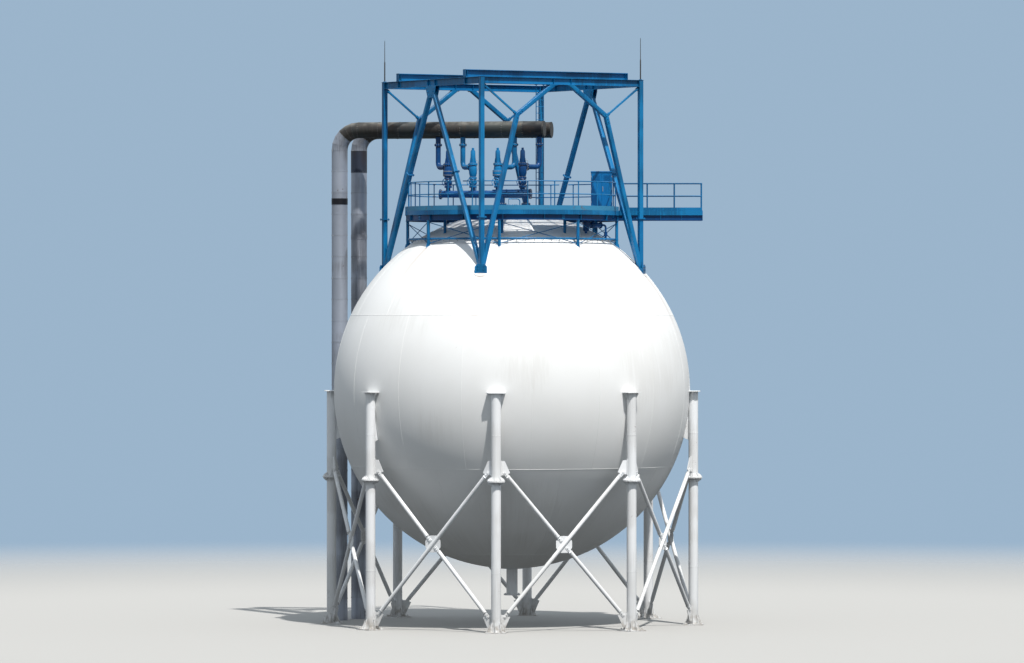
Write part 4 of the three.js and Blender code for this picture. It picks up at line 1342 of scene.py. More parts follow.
def beam(work, start, end, width, depth, flange, web, stiffeners):
    """A rolled I beam with end plates and upright stiffeners at the given distances."""
    start, end = Vector(start), Vector(end)
    along = (end - start).normalized()
    work.bar(start, end, i_section(width, depth, flange, web))
    for point in (start, end - along * 0.016):
        work.bar(point, point + along * 0.016, rectangle(width, depth))
    for distance in stiffeners:
        at = start + along * distance
        work.bar(at, at + along * 0.012, rectangle(width - 0.012, depth - 0.03))


def make_top_frame():
    inside = GANTRY_HALF - POST / 2 - GAP
    middle = BEAM_TOP - BEAM_DEPTH / 2
    # Stiffeners stand over the knee legs on two of the beams, over runway and apex on the others.
    knees = [along - 0.1 for along in (KNEE_TOP_ALONG, 2 * GANTRY_HALF - KNEE_TOP_ALONG)]
    apexes = [GANTRY_HALF + along - 0.1 for along in (-RUNWAY_LINE, -0.3, 0.3, RUNWAY_LINE)]
    top_beams = {
        "top_beam_front_right": ((-inside, -GANTRY_HALF), (inside, -GANTRY_HALF), knees),
        "top_beam_back_left": ((-inside, GANTRY_HALF), (inside, GANTRY_HALF), knees),
        "top_beam_front_left": ((-GANTRY_HALF, -inside), (-GANTRY_HALF, inside), apexes),
        "top_beam_back_right": ((GANTRY_HALF, -inside), (GANTRY_HALF, inside), apexes),
    }
    for name, (start, end, stiffeners) in top_beams.items():
        work = Work(GANTRY)
        start, end = (*start, middle), (*end, middle)
        beam(work, start, end, BEAM_WIDTH, BEAM_DEPTH, 0.02, 0.014, stiffeners)
        finished(name + "_steel", work, BLUE, name, bevel=0.003)
    reach = GANTRY_HALF + BEAM_WIDTH / 2
    middle = BEAM_TOP + RUNWAY_DEPTH / 2 + 0.0005
    stiffeners = [BEAM_WIDTH / 2, 2 * reach - BEAM_WIDTH / 2]
    for name, sy in (("runway_beam_front", -1), ("runway_beam_back", 1)):
        work = Work(GANTRY)
        y = sy * RUNWAY_LINE
        start, end = (-reach, y, middle), (reach, y, middle)
        beam(work, start, end, RUNWAY_WIDTH, RUNWAY_DEPTH, 0.03, 0.024, stiffeners)
        for sx in (-1, 1):
            for bx in (-0.06, 0.06):
                for by in (-0.085, 0.085):
                    work.bolt("gantry", (sx * GANTRY_HALF + bx, y + by, BEAM_TOP + 0.03))
            # A stop block at each end of the lower flange
            stop = sx * (GANTRY_HALF - 0.45)
            work.box((stop - 0.03, y - 0.11, BEAM_TOP - 0.06), (stop + 0.03, y + 0.11, BEAM_TOP))
        finished(name + "_steel", work, BLUE, name, bevel=0.003)


def make_hoist_ladder():
    work = Work(GANTRY)
    low, high = DECK_TOP, BEAM_TOP
    for side in (-1, 1):
        x, y = LADDER_X + side * LADDER_WIDTH / 2, RUNWAY_LINE
        work.bar((x, y, low), (x, y, high), rectangle(0.06, 0.016), ALONG_X)
        for under, over in ((low, low + 0.012), (high - 0.012, high - GAP)):
            work.box((x - 0.05, y - 0.06, under), (x + 0.05, y + 0.06, over))
    finished("hoist_ladder_stiles", work, BLUE, "hoist_ladder", bevel=0.002)
    places = []
    height = low + 0.3
    axis = GANTRY.to_3x3() @ Vector(ALONG_X)
    while height < high - 0.15:
        places.append((GANTRY @ Vector((LADDER_X, RUNWAY_LINE, height)), axis, (1, 1, LADDER_WIDTH)))
        height += 0.3
    placed("hoist_ladder_rungs", "rung", places, BLUE)


# The working platform

def arc_plate(work, radii, heights, azimuths):
    """A flat plate or band between two radii, two heights and two azimuths."""
    start, end = azimuths
    count = max(2, math.ceil((end - start) / 3))
    turns = [start + (end - start) * i / count for i in range(count + 1)]
    inner, outer = [[around(radius, turn).xy for turn in turns] for radius in radii]
    work.prism(outer + inner[::-1], heights[1] - heights[0], Matrix.Translation((0, 0, heights[0])))


def deck_strands():
    """The crossing strands of the expanded metal, as (point, axis, stretch)."""
    strands = []
    outer = CATWALK - 0.012
    count = math.floor(outer / STRAND_PITCH)
    for lean in (-30, 30):
        lattice = PLATFORM @ turned(lean)
        axis = lattice.to_3x3() @ Vector(ALONG_X)
        for k in range(-count, count + 1):
            y = STRAND_PITCH * k
            far = math.sqrt(outer ** 2 - y ** 2)
            near = math.sqrt(DECK_HOLE ** 2 - y ** 2) if abs(y) < DECK_HOLE else 0
            spans = [(-far, -near), (near, far)] if near else [(-far, far)]
            for start, end in spans:
                middle = lattice @ Vector(((start + end) / 2, y, DECK_TOP - 0.014))
                strands.append((middle, axis, (1, 1, end - start)))
    return strands


UNDER_DECK = DECK_TOP - DECK_PLATE
DECK_RIM = DECK - TOE_PLATE


def radial_bar(work, radii, azimuth, outline):
    """A bar that runs outwards, just under the top of the deck."""
    start, end = [around(radius, azimuth, DECK_TOP - 0.022) for radius in radii]
    work.bar(start, end, outline)


def catwalk(work):
    """The plates that carry the catwalk along the rim. One of them has a hatch under bars."""
    seam = 0.0015
    spare = math.degrees(seam / DECK_RIM)
    share = 360 / DECK_PLATES
    for i in range(DECK_PLATES):
        azimuths = share * i + spare, share * (i + 1) - spare
        inner = CATWALK if i else HATCH_RADIUS
        arc_plate(work, (inner + seam, DECK_RIM - seam), (UNDER_DECK, DECK_TOP), azimuths)
    for k in range(8):
        radius = CATWALK + (HATCH_RADIUS - CATWALK) * k / 8
        arc_plate(work, (radius, radius + 0.008), (UNDER_DECK + 0.01, DECK_TOP), HATCH_AZIMUTHS)
    for azimuth in (0.35, *HATCH_AZIMUTHS, 22.1):
        radial_bar(work, (CATWALK, HATCH_RADIUS), azimuth, rectangle(0.01, 0.044))


def mesh_frames(work):
    """The flat bars that hold the expanded metal in the inner part."""
    edge = CATWALK - 0.012
    for radius in (DECK_HOLE, MESH_RING, edge):
        work.band(radius, radius + 0.01, UNDER_DECK, DECK_TOP, sides=96)
    for sectors, inner, outer in ((8, DECK_HOLE + 0.01, MESH_RING), (12, MESH_RING + 0.01, edge)):
        for i in range(sectors):
            radial_bar(work, (inner, outer), 360 / sectors * (i + 0.5), rectangle(0.014, 0.042))


def toe_plate(work):
    """The upright plate round the rim, open where the walkway meets the deck."""
    first, last = [90 + math.degrees(math.asin(y / DECK)) - COLUMN_TURN
                   for y in (WALKWAY_FRONT + 0.06, WALKWAY_BACK - 0.06)]
    run = (first + 360 - last) / DECK_PLATES
    for i in range(DECK_PLATES):
        azimuths = last + run * i + 0.02, last + run * (i + 1) - 0.02
        arc_plate(work, (DECK_RIM, DECK), (UNDER_DECK + GAP, TOE_TOP), azimuths)


def make_deck():
    work = Work(PLATFORM)
    catwalk(work)
    mesh_frames(work)
    toe_plate(work)
    finished("platform_deck_plates", work, DECK_BLUE, "platform_deck")
    size = {"Depth": 0.022, "Thickness": 0.007}
    placed("platform_deck_mesh", "slat", deck_strands(), BLUE, size)


def spray_feed(work):
    """The pipe that feeds the spray ring, through a strainer that hangs below the deck."""
    radius, azimuth = STRAINER
    at = around(radius, azimuth).xy
    body = [(0, 7.03), (0.06, 7.03), (0.06, 7.1), (0.13, 7.14), (0.14, 7.2), (0.14, 7.45),
            (0.19, 7.455), (0.19, 7.485), (0.185, 7.49), (0.185, 7.52), (0.06, 7.54), (0.05, 7.6),
            (0.05, UNDER_DECK), (0, UNDER_DECK)]
    work.lathe(body, Matrix.Translation((*at, 0)), 28, finish=NAVY)
    work.bolt_circle("platform", at, 0.162, 8, 7.52, 0.018)
    feed = around(RING_PIPE, SPRAY_FEED_AZIMUTH).xy
    height = SPRAY_FEED_HEIGHT
    corners = [(*at, height), (*feed, height), (*feed, RING_PIPE_HEIGHT)]
    work.tube(rounded_path(corners, 0.12, 6), RING_PIPE_RADIUS, 16, finish=NAVY)
    along = facing((*(feed - at), 0), (*at, height))
    length = (feed - at).length
    work.disc((0, 0), 0.0, length - 0.26, 0.11, 28, along, finish=NAVY)
    for low, high in ((0.24, 0.27), (0.272, 0.302), (length - 0.29, length - 0.26)):
        work.disc((0, 0), low, high, 0.15, 28, along, finish=NAVY)
    for low, high, size in ((6.9, 6.92, 0.085), (6.92, 7.08, 0.075), (7.08, 7.1, 0.085)):
        work.disc(feed, low, high, size, 20, finish=NAVY)


def make_leg_stays():
    """Thin crossed rods between the legs of the platform."""
    foot = height_on_sphere(LEG_CIRCLE) + 0.12
    half = 180 / PLATFORM_LEGS
    paths = []
    for i in range(PLATFORM_LEGS):
        middle = LEG_TURN + half * (2 * i + 1)
        for side in (-1, 1):
            radius = LEG_CIRCLE + 0.02 * side
            start = around(radius, middle - (half - 0.7) * side, foot)
            end = around(radius, middle + (half - 0.7) * side, RING_BEAM_LOW - 0.1)
            paths.append([PLATFORM @ start, PLATFORM @ end])
    bars("platform_leg_stays", paths, 0.018, BLUE, 8)


def platform_leg(work, azimuth):
    """One leg of the platform, with its ribs and the clamp of the spray ring, and a prop."""
    at = around(LEG_CIRCLE, azimuth).xy
    foot = height_on_sphere(LEG_CIRCLE)
    work.disc(at, foot - 0.05, RING_BEAM_LOW + 0.001, LEG_RADIUS, 28)
    work.disc(at, RING_BEAM_LOW - 0.02, RING_BEAM_LOW - GAP, LEG_RADIUS + 0.014, 28)
    pad(work, around(LEG_CIRCLE, azimuth, foot), 0.17, 0.014, finish=WHITE)
    # A short prop below the joists, nearer to the crown
    prop_foot = height_on_sphere(PROP_CIRCLE)
    prop = around(PROP_CIRCLE, azimuth).xy
    work.disc(prop, prop_foot - 0.05, UNDER_DECK - 0.17, LEG_RADIUS, 24)
    work.disc(prop, UNDER_DECK - 0.17, UNDER_DECK - 0.152, 0.16, 24)
    pad(work, around(PROP_CIRCLE, azimuth, prop_foot), 0.16, 0.014, finish=WHITE)
    for side in (-1, 1):
        rib_foot = around(LEG_CIRCLE + side * (LEG_RADIUS - 0.01), azimuth, foot - 0.02 - 0.05 * side)
        triangle_rib(work, rib_foot, around(side, azimuth), 0.07, 0.2, 0.012)
    work.disc(at, RING_PIPE_HEIGHT - 0.03, RING_PIPE_HEIGHT + 0.03, LEG_RADIUS + 0.008, 28)


RING_BEAM_DEPTH = UNDER_DECK - RING_BEAM_LOW
RING_BEAM_MIDDLE = (UNDER_DECK + RING_BEAM_LOW) / 2
RING_BEAM_BACK = DECK - RING_BEAM_WIDTH
RING_BEAM_WEB = RING_BEAM_BACK + 0.012


def ring_beam(work):
    """The channel under the rim of the deck, its lengths a little different in tone, and the skirt."""
    section = channel(RING_BEAM_WIDTH - 0.014, RING_BEAM_DEPTH - GAP, 0.018, 0.012)
    rim = [(RING_BEAM_BACK + x, RING_BEAM_MIDDLE + y) for x, y in section]
    lengths = [chance.random() for _ in range(DECK_PLATES)]
    sides = 8 * DECK_PLATES
    tones = [lengths[i // 8] for i in range(sides)] * len(rim)
    # The channel wears the dark navy paint as painted shade, standing in for the shade under the deck's
    # edge.
    work.lathe(rim, sides=sides, loop=True, tone=tones, finish=NAVY)
    share = 360 / DECK_PLATES
    for i in range(DECK_PLATES):
        azimuths = share * i + 3, share * (i + 1) + 2.96
        arc_plate(work, (DECK - 0.012, DECK), (SKIRT_LOW, UNDER_DECK - GAP), azimuths)


def inner_rings(work):
    """The curb round the hole in the deck, with its flange, and the ring between the joists."""
    work.band(DECK_HOLE, DECK_HOLE + 0.012, CURB_LOW, UNDER_DECK - GAP, sides=64)
    work.band(DECK_HOLE, DECK_HOLE + 0.06, CURB_LOW, CURB_LOW + 0.012, sides=64)
    work.band(JOIST_RING, JOIST_RING + 0.05, UNDER_DECK - 0.12, UNDER_DECK - GAP, sides=96)


def web_strap(work, azimuth):
    """A bolted strap over a joint in the web of the ring beam."""
    heights = (RING_BEAM_LOW + 0.03, UNDER_DECK - 0.03)
    radii = (RING_BEAM_WEB - 0.001, RING_BEAM_WEB + 0.008)
    arc_plate(work, radii, heights, (azimuth - 0.9, azimuth + 0.9))
    for side in (-1, 1):
        for lift in (0.08, 0.2, 0.32):
            at = around(RING_BEAM_WEB + 0.008, azimuth + side * 0.55, RING_BEAM_LOW + 0.03 + lift)
            work.bolt("platform", at, around(1, azimuth), 0.022)


def joists(work):
    """The beams that carry the deck, and stiffeners in the ring beam at their ends."""
    height = UNDER_DECK - 0.076
    middle = RING_BEAM_MIDDLE
    joist = i_section(0.09, 0.15, 0.012, 0.009)
    stiffener = rectangle(0.012, RING_BEAM_DEPTH - 0.036)
    for i in range(JOISTS):
        turn = 360 / JOISTS * i
        start = around(DECK_HOLE + 0.014, turn, height)
        work.bar(start, around(RING_BEAM_WEB - 0.013, turn, height), joist)
        start = around(RING_BEAM_WEB - 0.001, turn, middle)
        work.bar(start, around(DECK - 0.014, turn, middle), stiffener)
        if i % 2:
            web_strap(work, turn + 180 / JOISTS)


def spray_ring(work):
    """The ring pipe that the platform's legs carry, and the couplings in it."""
    ring = [(RING_PIPE + x, RING_PIPE_HEIGHT + z) for x, z in circle(RING_PIPE_RADIUS, 16)]
    work.lathe(ring, sides=160, loop=True)
    for i in range(12):
        azimuth = 30 * i + 9
        side = around(0.04, azimuth + 90)
        at = around(RING_PIPE, azimuth, RING_PIPE_HEIGHT)
        work.bar(at - side, at + side, circle(RING_PIPE_RADIUS + 0.012, 16))


def make_platform_frame():
    work = Work(PLATFORM)
    ring_beam(work)
    inner_rings(work)
    joists(work)
    for i in range(PLATFORM_LEGS):
        platform_leg(work, LEG_TURN + 360 / PLATFORM_LEGS * i)
    spray_ring(work)
    spray_feed(work)
    finished("platform_frame_steel", work, BLUE, "platform_frame")


def make_spray_nozzles():
    places = []
    for i in range(SPRAY_NOZZLES):
        out = around(1, 360 / SPRAY_NOZZLES * (i + 0.5))
        axis = PLATFORM.to_3x3() @ (out * -0.8 + Vector((0, 0, -0.6)))
        point = PLATFORM @ (out * RING_PIPE + Vector((0, 0, RING_PIPE_HEIGHT)))
        places.append((point + axis * (RING_PIPE_RADIUS - 0.01), axis, (1, 1, 1)))
    placed("spray_ring_nozzles", "nozzle", places, ZINC)


def leg_passes(point):
    """Whether an A-frame leg, with its clearance, passes through a point of the tank's own frame."""
    spot = turned(-GANTRY_TURN) @ Vector(point)
    clear = LEG / 2 + RAIL_CLEARANCE
    if abs(abs(spot.x) - GANTRY_HALF) > clear:
        return False
    for end in (-1, 1):
        foot = Vector((end * GANTRY_HALF, FOOT - 0.06))
        along = (Vector((-end * 0.12, UNDER_BEAM + 0.2)) - foot).normalized()
        off = Vector((spot.y, spot.z)) - foot
        if abs(off.x * along.y - off.y * along.x) < clear:
            return True
    return False


def rail_runs(start, end, height):
    """The lengths of a round rail that are left between the legs that cross it."""
    steps = round(end - start)
    runs = [[]]
    for i in range(steps + 1):
        point = around(RAIL_CIRCLE, start + (end - start) * i / steps, height)
        if leg_passes(point):
            runs.append([])
        else:
            runs[-1].append(point)
    return [run for run in runs if len(run) > 1]


def platform_rail(node, start, end):
    work = Work(VESSEL)
    bays = round(math.radians(end - start) * RAIL_CIRCLE / POST_SPACING)
    for height in (RAIL_TOP - RAIL_RADIUS, RAIL_MIDDLE):
        for run in rail_runs(start, end, height):
            work.tube(run, RAIL_RADIUS, 14)
    finished(node + "_tubes", work, BLUE, node)
    azimuths = [start + (end - start) * i / bays for i in range(bays + 1)]
    feet = [VESSEL @ around(RAIL_CIRCLE, azimuth, DECK_TOP) for azimuth in azimuths]
    places = [(foot, UP, (1, 1, 1)) for foot in feet]
    placed(node + "_posts", "rail_post", places, BLUE)


def cabinet_case(work, x, y, half, deep, low, high):
    """The case, under a roof with a lip that slopes to the back."""
    work.box((x - half, y - deep + 0.02, low), (x + half, y + deep, high - 0.05))
    roof = [(deep + 0.015, high - 0.07), (deep + 0.015, high - 0.04),
            (-deep - 0.02, high - 0.012), (-deep - 0.02, high - 0.07)]
    shift = Matrix.Translation((x - half - 0.015, y, 0))
    work.prism(roof, 2 * half + 0.03, shift @ TO_RIGHT)


def cabinet_doors(work, x, face, half, low, high):
    """Two doors with panels and hinges, and a handle on the right one."""
    for side in (-1, 1):
        left, right = sorted((x + side * 0.004, x + side * (half - 0.018)))
        work.box((left, face, low + 0.03), (right, face + 0.021, high - 0.09))
        work.box((left + 0.05, face - 0.003, low + 0.08), (right - 0.05, face + 0.001, high - 0.5))
        for lift in (0.16, 0.75, 1.3):
            at = (x + side * (half - 0.012), face - 0.004)
            work.disc(at, low + lift, low + lift + 0.09, 0.011, 10, finish=ZINC)
    work.box((x + 0.04, face - 0.02, low + 0.68), (x + 0.065, face - 0.006, low + 0.9), finish=ZINC)
    for foot in (low + 0.7, low + 0.86):
        work.box((x + 0.045, face - 0.01, foot), (x + 0.06, face + 0.002, foot + 0.02), finish=ZINC)


def cabinet_feet(work, x, y, half, deep, low):
    """Four legs on foot plates, and conduits from the back of the case to the deck."""
    for sx in (-1, 1):
        for sy in (-1, 1):
            corner = (x + sx * (half - 0.06), y + sy * (deep - 0.06))
            work.square(corner, 0.03, DECK_TOP, low + 0.01)
            work.square(corner, 0.05, DECK_TOP, DECK_TOP + 0.01)
    for aside in (-0.2, -0.08, 0.1):
        at = (x + aside, y + deep - 0.04)
        work.tube([(*at, DECK_TOP + 0.002), (*at, low + 0.02)], 0.02, 12, finish=ZINC)


def make_cabinet():
    work = Work(VESSEL)
    x, y = CABINET
    half, deep = CABINET_SIZE[0] / 2, CABINET_SIZE[1] / 2
    face = y - deep
    low, high = DECK_TOP + CABINET_LEG, DECK_TOP + CABINET_SIZE[2]
    cabinet_case(work, x, y, half, deep, low, high)
    cabinet_doors(work, x, face, half, low, high)
    cabinet_feet(work, x, y, half, deep, low)
    finished("control_cabinet_body", work, CABINET_BLUE, "control_cabinet", bevel=0.004)
    places = []
    for side in (-1, 1):
        for row in range(9):
            at = (x + side * half / 2, face - 0.002, high - 0.2 - 0.028 * row)
            places.append((VESSEL @ Vector(at), ALONG_X, (1, 1, 0.3)))
    size = {"Depth": 0.014, "Thickness": 0.012}
    placed("control_cabinet_louvres", "slat", places, CABINET_BLUE, size)


def beyond_deck(y):
    """Where the edge of the deck, with a small gap, lies in X at a place in Y."""
    return math.sqrt((DECK + 0.002) ** 2 - y * y)


def walkway_girders(work, low, end):
    middle = (low + DECK_TOP) / 2
    outline = channel(WALKWAY_GIRDER - 0.013, WALKWAY_DEPTH - 0.002, 0.02, 0.014)
    for y, side in ((WALKWAY_FRONT, 1), (WALKWAY_BACK, -1)):
        start = beyond_deck(y)
        turned_out = [(side * (WALKWAY_GIRDER - px), py) for px, py in outline]
        # The girder wears the dark navy paint as painted shade, below the blue strip at the top of the
        # girder.
        work.bar((start, y, middle), (end, y, middle), turned_out, finish=NAVY)
        near, far = sorted((y, y + side * 0.012))
        work.box((start, near, DECK_TOP - 0.21), (end, far, DECK_TOP - GAP))
        for k in range(1, 4):
            x = DECK + (WALKWAY_END - DECK) * k / 4
            near, far = sorted((y + side * 0.014, y + side * (WALKWAY_GIRDER - 0.013)))
            work.box((x - 0.006, near, low + 0.02), (x + 0.006, far, DECK_TOP - 0.045))


def walkway_floor(work, end):
    """The floor in four lengths. The first one fits round the platform."""
    front, back = WALKWAY_FRONT + 0.014, WALKWAY_BACK - 0.014
    under = DECK_TOP - 0.04
    ends = [DECK + (end - DECK) * k / 4 for k in range(1, 5)]
    across = [front + (back - front) * i / 8 for i in range(9)]
    first = [(beyond_deck(y), y) for y in reversed(across)]
    first += [(ends[0] - 0.002, front), (ends[0] - 0.002, back)]
    work.prism(first, 0.04, Matrix.Translation((0, 0, under)), finish=DECK_BLUE)
    for near, far in zip(ends, ends[1:]):
        work.box((near + 0.002, front, under), (far - 0.002, back, DECK_TOP), finish=DECK_BLUE)


def walkway_crossings(work, low):
    """The beams between the girders, and flat bars that brace them."""
    crossings = [DECK + 0.15 + (WALKWAY_END - DECK - 0.3) * i / 3.4 for i in range(4)]
    front = WALKWAY_FRONT + WALKWAY_GIRDER + GAP
    back = WALKWAY_BACK - WALKWAY_GIRDER - GAP
    height = DECK_TOP - 0.13
    for x in crossings:
        work.bar((x, front, height), (x, back, height), i_section(0.08, 0.178, 0.012, 0.01))
    for k, (near, far) in enumerate(zip(crossings, crossings[1:])):
        start, end = (front, back) if k % 2 else (back, front)
        work.bar((near, start, low + 0.05), (far, end, low + 0.05), rectangle(0.06, 0.012))


def make_walkway():
    work = Work(VESSEL)
    low = DECK_TOP - WALKWAY_DEPTH
    end = WALKWAY_END - 0.012
    walkway_girders(work, low, end)
    walkway_floor(work, end)
    walkway_crossings(work, low)
    work.box((end, WALKWAY_FRONT, low), (WALKWAY_END, WALKWAY_BACK, DECK_TOP))
    for y in (0.1, 0.35, 0.65, 0.9):
        for lift in (0.07, 0.38):
            work.bolt("platform", (end, WALKWAY_FRONT + y, low + lift), (-1, 0, 0), 0.022)
    finished("walkway_span_steel", work, BLUE, "walkway_span")
    walkway_rail("walkway_rail_front", WALKWAY_FRONT + 0.05, 1)
    walkway_rail("walkway_rail_back", WALKWAY_BACK - 0.05, -1)


def walkway_rail(node, y, inward):
    work = Work(VESSEL)
    start, end = DECK + 0.06, WALKWAY_END - 0.025
    for height in (RAIL_TOP - RAIL_RADIUS, RAIL_MIDDLE):
        work.tube([(start, y, height), (end, y, height)], RAIL_RADIUS, 14)
    toe = sorted((y - inward * 0.022, y - inward * 0.028))
    work.box((start, toe[0], DECK_TOP + 0.01), (end, toe[1], DECK_TOP + 0.14))
    finished(node + "_tubes", work, BLUE, node)
    xs = [start + 0.025 + (end - start - 0.05) * i / 3 for i in range(4)]
    places = [(VESSEL @ Vector((x, y, DECK_TOP)), UP, (0.8, 0.8, 1)) for x in xs]
    size = {"Foot Radius": 0.05, "Post Radius": 0.03}
    placed(node + "_posts", "rail_post", places, BLUE, size)


# Vent headers and their cladding

HEADER_LENGTHS = 9
HEADER_GORES = 6
RISER_LENGTHS = 22
STRAP_RADIUS = HEADER_RADIUS + 0.006


class HeaderWork(Work):
    """A large pipe under cladding, in sections with straps and with rings of rivets."""

    def __init__(self, y, left):
        super().__init__(PIPING)
        self.y = y
        self.left = left
        self.rivets = []

    def sleeve(self, start, end, radius, finish, cuts=(None, None)):
        outline = circle(radius, 48)
        self.bar(start, end, outline, ALONG_Y, cuts, finish=finish)

    def section(self, start, end, finish, cuts=(None, None)):
        """One section, with rivets round its far end unless that stands on the ground."""
        start, end = Vector(start), Vector(end)
        self.sleeve(start, end, HEADER_RADIUS, finish, cuts)
        if end.z < 0.01 - CENTRE:
            return
        ring = facing(cuts[1] or end - start, end, ALONG_Y)
        for offset in circle(STRAP_RADIUS, 20, 0.5):
            out = Vector((*offset, 0))
            axis = PIPING.to_3x3() @ (ring.to_3x3() @ out)
            self.rivets.append((PIPING @ (ring @ out), axis, (1, 1, 1)))

    def strap(self, at, along, width, finish):
        at, reach = Vector(at), Vector(along).normalized() * width / 2
        self.sleeve(at - reach, at + reach, STRAP_RADIUS, finish)

    def level_length(self):
        """The level length, from its blind end on the right to the bend."""
        y, height = self.y, HEADER_HEIGHT
        run = self.left + HEADER_BEND - HEADER_RIGHT
        ends = [HEADER_RIGHT + run * i / HEADER_LENGTHS for i in range(HEADER_LENGTHS + 1)]
        for k, (near, far) in enumerate(zip(ends, ends[1:])):
            finish = STAINED if k else TARRED
            self.section((near, y, height), (far, y, height), finish)
            self.strap((far, y, height), ALONG_X, 0.05, finish)
        self.strap((HEADER_RIGHT - 0.03, y, height), ALONG_X, 0.07, DARK)
        start, end = (HEADER_RIGHT, y, height), (HEADER_RIGHT + 0.012, y, height)
        self.sleeve(start, end, HEADER_RADIUS - 0.01, DARK)

    def bend(self):
        """The bend down, made of mitred gores."""
        hub = Vector((self.left + HEADER_BEND, self.y, HEADER_HEIGHT - HEADER_BEND))
        turns = [math.pi / 2 * i / HEADER_GORES for i in range(HEADER_GORES + 1)]
        ends = [hub + Vector((-math.sin(turn), 0, math.cos(turn))) * HEADER_BEND for turn in turns]
        tangents = [Vector((-math.cos(turn), 0, -math.sin(turn))) for turn in turns]
        for i in range(HEADER_GORES):
            finish = STAINED if i < HEADER_GORES / 2 else CLADDING
            self.section(ends[i], ends[i + 1], finish, (tangents[i], tangents[i + 1]))
            self.strap(ends[i + 1], tangents[i + 1], 0.022, finish)

    def riser(self, patches):
        """The riser down to the ground, with bands of another finish on it."""
        x, y = self.left, self.y
        top = HEADER_HEIGHT - HEADER_BEND
        ends = [top - (top + CENTRE) * i / RISER_LENGTHS for i in range(RISER_LENGTHS + 1)]
        for high, low in zip(ends, ends[1:]):
            self.section((x, y, high), (x, y, low), CLADDING)
            self.strap((x, y, low + 0.03), UP, 0.05, CLADDING)
        for height, size, finish in patches:
            self.band(HEADER_RADIUS - 0.01, HEADER_RADIUS + 0.01, height, height + size,
                      Matrix.Translation((x, y, 0)), finish=finish)


def header(node, patches):
    """One vent header. Each patch on its riser is given as its lower edge, height and finish."""
    work = HeaderWork(*HEADERS[node.split("_")[-1]])
    work.level_length()
    work.bend()
    work.riser(patches)
    finished(node + "_cladding", work, CLADDING, node)
    placed(node + "_rivets", "rivet", work.rivets, ZINC)


# Manifold and relief valves

def flange_pair(work, centre, height, radius, count, thick):
    """Two round flanges bolted together with a thin gap between them."""
    work.disc(centre, height - thick, height - 0.002, radius, 36)
    work.disc(centre, height + 0.002, height + thick, radius, 36)
    work.bolt_circle("piping", centre, radius - 0.032, count, height + thick, 0.022)
    work.bolt_circle("piping", centre, radius - 0.032, count, height - thick, 0.022, down=True)


def blind_flange(work, place):
    """The bolted cover on an end of the manifold. Its frame points outwards."""
    work.disc((0, 0), -0.03, -GAP, MANIFOLD_RADIUS + 0.07, 36, place)
    work.disc((0, 0), 0.003, 0.04, MANIFOLD_RADIUS + 0.07, 36, place)
    work.disc((0, 0), 0.035, 0.058, MANIFOLD_RADIUS - 0.03, 36, place)
    work.bolt_circle("piping", (0, 0), MANIFOLD_RADIUS + 0.038, 12, 0.04, 0.02, place)
    work.bolt_circle("piping", (0, 0), MANIFOLD_RADIUS + 0.038, 12, -0.03, 0.02, place, down=True)


def make_manifold():
    work = Work(PIPING)
    start, end = MANIFOLD_ENDS
    y, height = MANIFOLD_Y, MANIFOLD_HEIGHT
    work.tube([(start, y, height), (end, y, height)], MANIFOLD_RADIUS, 36)
    for at, side in ((start, -1), (end, 1)):
        blind_flange(work, facing((side, 0, 0), (at, y, height)))
    # Bands round the pipe, between the valves
    for x in (-2.6, -1.4):
        place = Matrix.Translation((x, y, height)) @ Matrix.Rotation(math.pi / 2, 4, "Y")
        work.band(MANIFOLD_RADIUS - 0.01, MANIFOLD_RADIUS + 0.008, -0.03, 0.03, place, 36)
    # The nozzles that come up from the sphere
    for x in MANIFOLD_NOZZLES:
        foot = height_on_sphere(x, y)
        work.disc((x, y), foot - 0.1, height, NOZZLE_RADIUS, 36)
        flange_pair(work, (x, y), NOZZLE_FLANGE, NOZZLE_RADIUS + 0.08, 12, 0.04)
        pad(work, (x, y, foot), 0.27, 0.016)
    # The stubs that carry the valves
    for x in VALVE_XS:
        work.disc((x, y), height, VALVE_SEAT - 0.044, 0.1, 32)
        work.disc((x, y), VALVE_SEAT - 0.045, VALVE_SEAT - 0.002, 0.17, 36)
        work.disc((x, y), height + 0.12, height + 0.175, 0.125, 32)
    # A thin drain line in front of the last two valves, on clips
    line = (y - 0.2, height + 0.17)
    work.tube([(-1.05, *line), (end, *line)], 0.03, 14)
    for x in (-0.4, 0.12):
        work.bar((x, y - 0.1, height + 0.12), (x, *line), rectangle(0.04, 0.012))
        work.disc((0, 0), x - 0.03, x + 0.03, 0.04, 14, facing(ALONG_X, (0, *line)))
    finished("crown_manifold_pipe", work, NAVY, "crown_manifold")


# A relief valve as (radius, height above its seat): isolating valve, relief body, bonnet and cap
STEM = [(0, 0), (0.17, 0), (0.17, 0.042), (0.112, 0.052), (0.118, 0.08), (0.168, 0.13),
        (0.188, 0.2), (0.168, 0.27), (0.12, 0.32), (0.112, 0.345), (0.172, 0.35), (0.172, 0.39),
        (0.176, 0.392), (0.176, 0.432), (0.13, 0.44), (0.15, 0.5), (0.182, 0.62), (0.185, 0.82),
        (0.168, 0.94), (0.15, 0.972), (0.205, 0.98), (0.205, 1.016), (0.202, 1.02), (0.202, 1.056),
        (0.118, 1.07), (0.112, 1.14), (0.116, 1.3), (0.106, 1.6), (0.085, 1.636), (0.085, 1.65),
        (0.056, 1.655), (0.056, 1.745), (0.045, 1.758), (0, 1.76)]
# Its rings of bolts: their radius, their height above the seat and whether they point down
STEM_BOLTS = [(0.146, 0.042, False), (0.15, 0.432, False), (0.15, 0.35, True),
              (0.178, 1.056, False), (0.178, 0.98, True)]
# The lagging round the relief body of some valves
JACKET = [(0, 0.46), (0.17, 0.46), (0.225, 0.475), (0.235, 0.5), (0.235, 0.73),
          (0.225, 0.755), (0.17, 0.765), (0, 0.765)]


